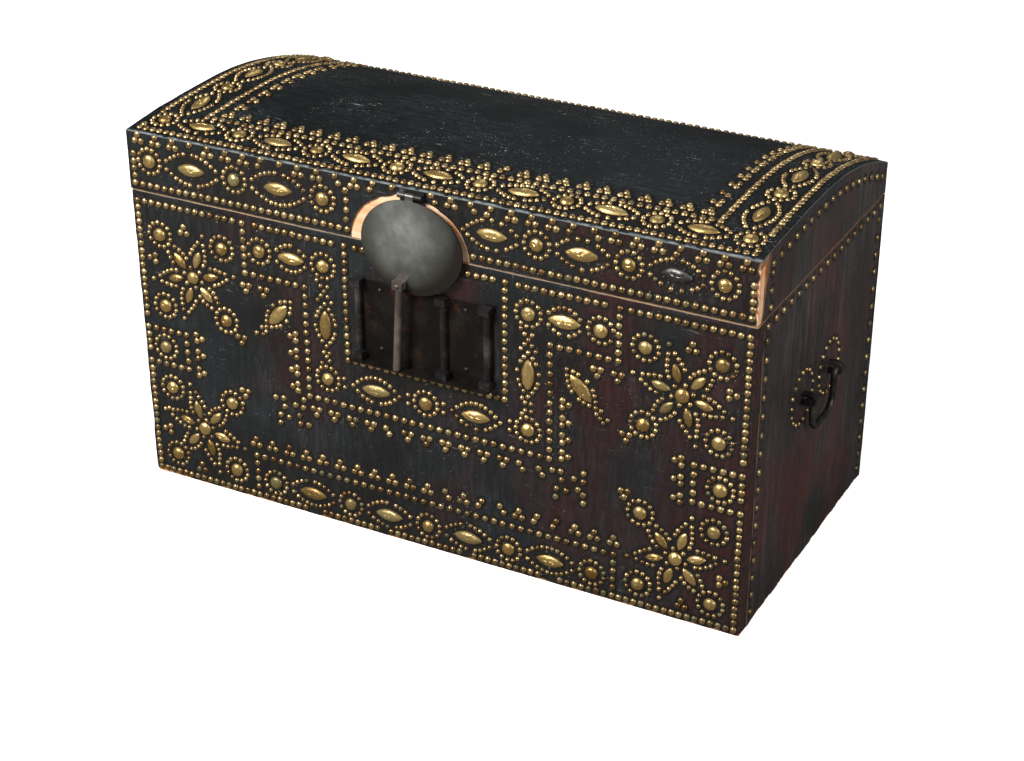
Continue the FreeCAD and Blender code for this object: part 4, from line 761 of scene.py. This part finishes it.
def hide_finish(name, grounds, warm_turn, stretch, streak, gloss, scuff, edge, fold_color, shine):
    """Dark hide: a ground with cool and warm patches, fibres, scuffs, chafed edges and dirt with painted
    shade about the heads.

    Grounds are the ground, cool and warm colours and the colour of the fibres; warm_turn is how the share of
    warm patches grows along x, and its start, and a growth along x is painted sheen and shade from side to
    side;
    edge is the chafed colour and how wide it is."""
    material, f = new_finish(name)
    ground, cool, warm, fibre = grounds
    edge_color, edge_width = edge
    place = f.place()
    # A slope along x is painted sheen and shade: the warm share grows to one side, the other side stays cool
    # and dark.
    side_shade_slope, start = warm_turn
    lean = f.plus(f.times(f.part(place, "X"), side_shade_slope), start)
    cool_mask = f.effect(BLOTCHES, Place=place, Scale=4.5, Low=0.42, High=0.66)["Mask"]
    warm_noise = f.noise(f.stretched(place, (1.0, 1.0, 0.6)), 6.5, 5.0, 0.62)
    warm_mask = f.ramp(f.plus(warm_noise, lean), 0.5, 0.68)
    color = f.between(cool_mask, ground, cool)
    color = f.between(warm_mask, color, warm)
    fibres = f.effect(FIBRES, Place=place, Scale=130.0, Stretch=stretch)
    patchy = f.effect(BLOTCHES, Place=place, Scale=8.0, Low=0.35, High=0.65)["Mask"]
    color = f.between(f.times(f.times(fibres["Mask"], streak), patchy), color, fibre)
    near = f.value("near")
    # Darkens the hide towards each head: dirt and painted contact shade.
    color = f.between(f.ramp(near, 0.15, 0.8), color, HEAD_DIRT_AND_SHADE)
    wax = f.times(f.ramp(f.noise(place, 330.0, 2.0, 0.5), 0.64, 0.7), f.ramp(near, 0.3, 0.7))
    wax = f.times(wax, f.ramp(f.noise(place, 11.0, 2.0, 0.5), 0.5, 0.62))
    scuffs = f.effect(SCUFFS, Place=place, Scale=300.0, Amount=scuff)["Mask"]
    color = f.between(f.calc("MAXIMUM", scuffs, f.times(wax, 0.5)), color, SCRATCHED)
    broken = f.ramp(f.noise(place, 95.0, 4.0, 0.65), 0.4, 0.62)
    color = f.between(f.times(f.times(f.value("fold"), broken), 0.8), color, fold_color)
    raw = f.effect(RAW_EDGE, Place=place, Edge=f.value("edge"), Width=edge_width)["Mask"]
    color = f.between(raw, color, edge_color)
    pebbles = f.effect(PEBBLES, Place=place, Scale=560.0)["Height"]
    creases = f.noise(f.stretched(place, stretch), 38.0, 4.0, 0.6)
    height = f.plus(f.plus(f.times(fibres["Height"], 0.8), f.times(pebbles, 0.25)), f.times(creases, 1.6))
    normal = f.bump(height, 1.3 * MM, 0.8)
    rough = f.plus(f.times(fibres["Height"], 0.4), f.plus(gloss - 0.2, f.times(near, 0.15)))
    rough = f.plus(rough, f.times(raw, 0.25))
    f.surface(color, rough, normal, specular=shine)
    return material


def brass_finish(name, bright, worn, pits):
    """Old brass: worn gold on top, brown dirt with painted shade towards the rim, brown dirt in the pits,
    some verdigris.
    """
    material, f = new_finish(name)
    place = f.place()
    dull, green, rim, grey = f.value("dull"), f.value("green"), f.value("rim"), f.value("grey")
    mottle = f.noise(place, 420.0, 4.0, 0.65)
    spots = f.noise(place, 1300.0, 3.0, 0.6)
    spans = f.noise(place, 14.0, 2.0, 0.5)
    wear = f.plus(f.plus(f.times(dull, 0.6), f.times(mottle, 0.6)), f.times(spans, 0.35))
    worn_share = f.ramp(wear, 0.45, 1.1)
    color = f.between(worn_share, bright, worn)
    verdigris = f.ramp(f.plus(f.times(green, 0.8), f.times(mottle, 0.5)), 0.45, 0.9)
    color = f.between(f.times(verdigris, 0.75), color, VERDIGRIS)
    # Darkens each head towards its rim: dirt and painted shade of the dome.
    rim_dirt_and_shade = f.ramp(f.plus(f.times(rim, 0.8), f.times(f.calc("SUBTRACT", mottle, 0.5), 0.7)), 0.66, 0.98)
    color = f.between(rim_dirt_and_shade, color, RIM_DIRT_AND_SHADE)
    pit = f.ramp(spots, 0.6, 0.68)
    color = f.between(f.times(pit, pits), color, DEEP_PIT)
    color = f.between(grey, color, BARE_METAL)
    rough = f.plus(f.times(rim_dirt_and_shade, 0.3), f.plus(f.times(mottle, 0.3), 0.2))
    normal = f.bump(f.plus(f.times(mottle, 0.6), f.times(spots, 0.4)), 0.4 * MM, 0.6)
    metal = f.calc("SUBTRACT", 1.0, f.times(f.calc("MAXIMUM", verdigris, rim_dirt_and_shade), 0.5))
    f.surface(color, rough, normal, metallic=metal)
    return material


def iron_finish(name, ground, light, rust_color, rust, gloss, painted_highlight_middle=None):
    """Forged iron: uneven dark skin with lighter worn patches and rust in the pits.

    A painted highlight middle, as x, z and reach, gathers the lighter patches round one point seen from the
    front; there the lighter colour is a painted highlight as well as wear."""
    material, f = new_finish(name)
    place = f.place()
    wear_and_highlight = f.effect(BLOTCHES, Place=place, Scale=26.0, Low=0.45, High=0.72)["Mask"]
    # Painted highlight: the lighter colour gathers round one point of the dome.
    if painted_highlight_middle:
        x, z, reach = painted_highlight_middle
        aside = f.calc("POWER", f.calc("SUBTRACT", f.part(place, "X"), x), 2.0)
        above = f.calc("POWER", f.calc("SUBTRACT", f.part(place, "Z"), z), 2.0)
        apart = f.calc("SQRT", f.plus(aside, above))
        highlight_falloff = f.calc("SUBTRACT", 1.0, f.ramp(apart, 0.2 * reach, reach))
        wear_and_highlight = f.times(f.plus(f.times(wear_and_highlight, 0.5), 0.5), highlight_falloff)
    color = f.between(wear_and_highlight, ground, light)
    rusted = f.effect(RUST, Place=place, Scale=24.0, Amount=rust)
    color = f.between(f.times(rusted["Mask"], 0.85), color, rust_color)
    rough = f.plus(f.times(rusted["Mask"], 0.3), f.plus(f.times(rusted["Height"], 0.3), gloss - 0.15))
    normal = f.bump(rusted["Height"], 0.8 * MM, 0.5)
    f.surface(color, rough, normal, metallic=0.75, specular=0.4)
    return material


def pine_finish(name, along, pale, dark, stain):
    """Pine: growth lines drawn out along the board, pores, knots of colour and grime."""
    material, f = new_finish(name)
    place = f.place()
    squeeze = tuple(0.06 if axis == along else 1.0 for axis in "XYZ")
    drawn = f.stretched(place, squeeze)
    rings = f.noise(drawn, 65.0, 4.0, 0.6)
    lines = f.ramp(rings, 0.42, 0.62)
    color = f.between(lines, pale, dark)
    pores = f.effect(FIBRES, Place=place, Scale=420.0, Stretch=squeeze)
    color = f.between(f.times(pores["Mask"], 0.35), color, dark)
    grime = f.effect(BLOTCHES, Place=place, Scale=14.0, Low=0.45, High=0.7)["Mask"]
    color = f.between(f.times(grime, stain), color, GRIME)
    normal = f.bump(pores["Height"], 0.5 * MM, 0.6)
    f.surface(color, 0.72, normal, specular=0.3)
    return material


# Finishes of this chest
BLACK = shade(10, 10, 11)
BLACK_BLUE = shade(19, 27, 31)
MAROON = shade(44, 13, 13)
TAN = shade(148, 122, 90)
HAIR = (1.0, 1.0, 0.16)
UPRIGHT_FIBRES = (1.0, 1.0, 0.05)
LEVEL_FIBRES = (0.3, 1.0, 1.0)

FRONT_COLORS = (BLACK, BLACK_BLUE, MAROON, shade(74, 74, 76))
END_COLORS = (shade(30, 23, 23), shade(38, 44, 43), shade(72, 34, 32), shade(124, 108, 102))
TOP_COLORS = (shade(4, 6, 8), shade(9, 15, 18), shade(12, 9, 10), shade(62, 70, 72))
WORN_FOLD = shade(120, 52, 30)
# Pale colour of the top's front lip: wear and a painted highlight on the rolled edge.
WORN_LIP_AND_HIGHLIGHT = shade(150, 160, 166)

# The front's maroon patches are its own colour; their growth along x is painted light: blue-black sheen at
# the left, maroon shade to the right.
front_finish = hide_finish("hide_front", FRONT_COLORS, (0.22, -0.01), HAIR, 0.22, 0.4, 0.35,
                           (TAN, 0.7 * MM), WORN_FOLD, 0.45)
end_finish = hide_finish("hide_ends", END_COLORS, (0.0, 0.03), UPRIGHT_FIBRES, 0.4, 0.42, 0.3,
                         (shade(134, 100, 70), 0.9 * MM), WORN_FOLD, 0.5)
top_finish = hide_finish("hide_top", TOP_COLORS, (0.0, -0.08), LEVEL_FIBRES, 0.35, 0.55, 1.3,
                         (shade(104, 108, 108), 0.45 * MM), WORN_LIP_AND_HIGHLIGHT, 0.1)

brass = brass_finish("old_brass", shade(216, 186, 132), shade(112, 84, 54), 0.7)
boss_brass = brass_finish("old_brass_bosses", shade(240, 208, 138), shade(158, 122, 66), 0.9)

iron = iron_finish("iron", shade(46, 44, 44), shade(104, 102, 100), shade(86, 54, 38), 0.25, 0.45)
bar_iron = iron_finish("iron_hasp_bar", shade(96, 88, 82), shade(150, 138, 128), shade(96, 64, 48),
                       0.2, 0.48)
plate_iron = iron_finish("iron_plate", shade(28, 25, 23), shade(52, 47, 42), shade(84, 44, 28), 0.45, 0.5)
# The cover's pale colour, gathered round a point on its dome, is a painted highlight as well as wear.
cover_iron = iron_finish("iron_cover", shade(54, 50, 46), shade(176, 182, 174), shade(78, 50, 38),
                         0.25, 0.38, (-0.022, 0.488, 0.08))
# The window's board: pine grain and tone, made paler than the inside boards as painted light on the bared
# wood.
pine_painted_light = pine_finish("pine_painted_light", "X", shade(255, 220, 182), shade(250, 176, 126), 0.3)
pine_short = pine_finish("pine_short", "Y", shade(238, 168, 98), shade(178, 88, 38), 0.6)
pine_torn = pine_finish("pine_torn", "Y", shade(240, 148, 62), shade(150, 48, 18), 0.7)
pine_inside = pine_finish("pine_inside", "X", shade(190, 146, 102), shade(150, 104, 66), 0.5)

# Brass
BOSS_RINGS = (0.2, 0.4, 0.6, 0.8, 0.93, 1.0)
TACK = (circle, 3.2 * MM, (0.36, 0.68, 0.9, 1.0), 10, 0.62, brass)
SMALL_TACK = (circle, 2.8 * MM, (0.4, 0.74, 1.0), 10, 0.62, brass)
ROUND = (circle, 6.0 * MM, BOSS_RINGS, 20, 0.55, boss_brass)
ALMOND = (pointed_oval, 5.5 * MM, BOSS_RINGS, 28, 0.6, boss_brass)
PETAL = (pointed_oval, 4.0 * MM, (0.25, 0.5, 0.75, 0.92, 1.0), 24, 0.6, boss_brass)

body_front_heads = np.concatenate([
    make_heads("front_tacks", "body_front_tacks", TACK, "chest", 21),
    make_heads("front_small_tacks", "body_front_small_tacks", SMALL_TACK, "chest", 22),
    make_heads("front_rounds", "body_front_rounds", ROUND, "chest", 23),
    make_heads("front_almonds", "body_front_almonds", ALMOND, "chest", 24),
    make_heads("front_petals", "body_front_petals", PETAL, "chest", 25),
])
end_heads = np.concatenate([
    make_heads("end_tacks", "body_end_tacks", TACK, "chest", 26),
    make_heads("handle_rings", "handle_ring_tacks", SMALL_TACK, "chest", 27),
])
back_heads = make_heads("back_tacks", "body_back_tacks", TACK, "chest", 28)
lid_front_heads = np.concatenate([
    make_heads("lid_front_row", "lid_front_tacks", TACK, "lid", 29),
    make_heads("lid_front_small_row", "lid_front_small_tacks", SMALL_TACK, "lid", 30),
    make_heads("lid_front_round_heads", "lid_front_rounds", ROUND, "lid", 31),
    make_heads("lid_front_almond_heads", "lid_front_almonds", ALMOND, "lid", 32),
])
lid_top_heads = np.concatenate([
    make_heads("lid_top_row", "lid_top_tacks", TACK, "lid", 33),
    make_heads("lid_top_small_row", "lid_top_small_tacks", SMALL_TACK, "lid", 34),
    make_heads("lid_top_round_heads", "lid_top_rounds", ROUND, "lid", 35),
    make_heads("lid_top_almond_heads", "lid_top_almonds", ALMOND, "lid", 36),
])
lid_end_heads = make_heads("lid_end_row", "lid_end_tacks", TACK, "lid", 37)
lid_back_heads = make_heads("lid_back_row", "lid_back_tacks", TACK, "lid", 38)

# Hides
make_body_front_hide(front_finish, body_front_heads)
make_flat_hide("left_hide", "body_left_leather", (0, -1, 0), (-1, 0, 0), HIDE_STEP, end_finish, "chest",
               end_heads, 41, True)
make_flat_hide("right_hide", "body_right_leather", (0, 1, 0), (1, 0, 0), HIDE_STEP, end_finish, "chest",
               end_heads, 51, True)
make_flat_hide("back_hide", "body_back_leather", (-1, 0, 0), (0, 1, 0), BACK_STEP, end_finish, "chest",
               back_heads, 61, False)
make_flat_hide("lid_back_hide", "lid_back_leather", (-1, 0, 0), (0, 1, 0), HIDE_STEP, end_finish, "lid",
               lid_back_heads, 71, False)
make_lid_end_hide("lid_left_hide", "lid_left_leather", -1, end_finish, lid_end_heads, 81)
make_lid_end_hide("lid_right_hide", "lid_right_leather", 1, end_finish, lid_end_heads, 91)
make_lid_front_hide(front_finish, lid_front_heads)
make_lid_top_hide(top_finish, lid_top_heads)

# Fixed nodes that keep their shape
for node, finish in (
    ("body_front_board", pine_inside), ("body_back_board", pine_inside), ("bottom_board", pine_inside),
    ("body_left_board", pine_short), ("body_right_board", pine_short),
    ("lid_front_board", pine_painted_light), ("lid_back_board", pine_inside),
    ("lid_left_board", pine_short), ("lid_right_board", pine_torn),
    ("lid_stave_1", pine_inside), ("lid_stave_2", pine_inside), ("lid_stave_3", pine_inside),
    ("lid_stave_4", pine_inside), ("lid_stave_5", pine_inside),
    ("lock_plate", plate_iron), ("lock_bars", iron), ("lock_nails", iron),
    ("hasp_cover", cover_iron), ("hasp_bar", bar_iron), ("hasp_rivet", bar_iron),
    ("hasp_hinge_leaf", iron), ("hasp_hinge_nails", iron), ("hasp_hinge_pin", iron),
    ("body_hinge_leaves", iron), ("body_hinge_nails", iron), ("lid_hinge_leaves", iron),
    ("lid_hinge_nails", iron), ("hinge_pins", iron),
    ("left_handle", iron), ("right_handle", iron), ("left_handle_ears", iron), ("right_handle_ears", iron),
):
    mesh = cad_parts[node].data
    mesh.materials.clear()
    mesh.materials.append(finish)


# Floor, light and camera

def make_stage():
    """A far-reaching floor and a room that both look white but light the chest only a little.

    To the camera the floor is pale and glows; to every other ray it is mid-grey, and the room is dim."""
    far = FLOOR_REACH
    points = np.array([(-far, -far, 0), (far, -far, 0), (far, far, 0), (-far, far, 0)])
    mesh = make_mesh("floor", points, [[0, 1, 2, 3]], [], {}, 0)
    floor = bpy.data.objects.new("floor", mesh)
    bpy.context.scene.collection.objects.link(floor)
    material, f = new_finish("pale_floor")
    tint = f.noise(f.place(), 1.2, 2.0, 0.5)
    seen = f.node("ShaderNodeLightPath").outputs["Is Camera Ray"]
    pale = f.between(tint, shade(246, 246, 246), shade(250, 250, 250))
    color = f.between(seen, shade(126, 124, 122), pale)
    f.surface(color, 0.9, f.bump(tint, MM, 0.05), specular=0.1)
    shader = next(node for node in material.node_tree.nodes if node.type == "BSDF_PRINCIPLED")
    shader.inputs["Emission Color"].default_value = WHITE
    f.feed(shader.inputs["Emission Strength"], f.times(seen, FLOOR_GLOW))
    mesh.materials.append(material)
    world = bpy.data.worlds.new("room")
    world.use_nodes = True
    tree = Finish(world.node_tree)
    world.node_tree.nodes.clear()
    seen = tree.node("ShaderNodeLightPath").outputs["Is Camera Ray"]
    background = tree.node("ShaderNodeBackground")
    background.inputs["Color"].default_value = WHITE
    brightness = tree.plus(tree.times(seen, 1.0 - ROOM_LIGHT), ROOM_LIGHT)
    tree.feed(background.inputs["Strength"], brightness)
    output = tree.node("ShaderNodeOutputWorld")
    world.node_tree.links.new(background.outputs[0], output.inputs["Surface"])
    bpy.context.scene.world = world


def add_light(name, place, size, power, color):
    """A soft square light that faces the chest's middle."""
    lamp = bpy.data.lights.new(name, "AREA")
    lamp.size = size
    lamp.energy = power
    lamp.color = color
    light = bpy.data.objects.new(name, lamp)
    light.location = place
    aim = Vector(LIT_PLACE) - Vector(place)
    light.rotation_euler = aim.to_track_quat("-Z", "Y").to_euler()
    bpy.context.scene.collection.objects.link(light)


def make_camera():
    lens = bpy.data.cameras.new("camera")
    lens.lens = LENS
    lens.sensor_width = SENSOR
    lens.clip_end = FARTHEST_SEEN
    camera = bpy.data.objects.new("camera", lens)
    camera.location = CAMERA_PLACE
    look = Vector(CAMERA_LOOK)
    camera.rotation_euler = look.to_track_quat("-Z", "Y").to_euler()
    bpy.context.scene.collection.objects.link(camera)
    bpy.context.scene.camera = camera


make_stage()
add_light("key", (-1.3, -2.5, 2.5), 1.3, 185.0, (1.0, 0.98, 0.95))
add_light("fill", (2.8, -1.0, 1.7), 1.4, 40.0, (0.97, 0.99, 1.0))
add_light("top", (-0.6, 2.0, 2.6), 0.8, 12.0, (0.94, 0.97, 1.0))
make_camera()
bpy.context.scene.view_settings.view_transform = "Standard"
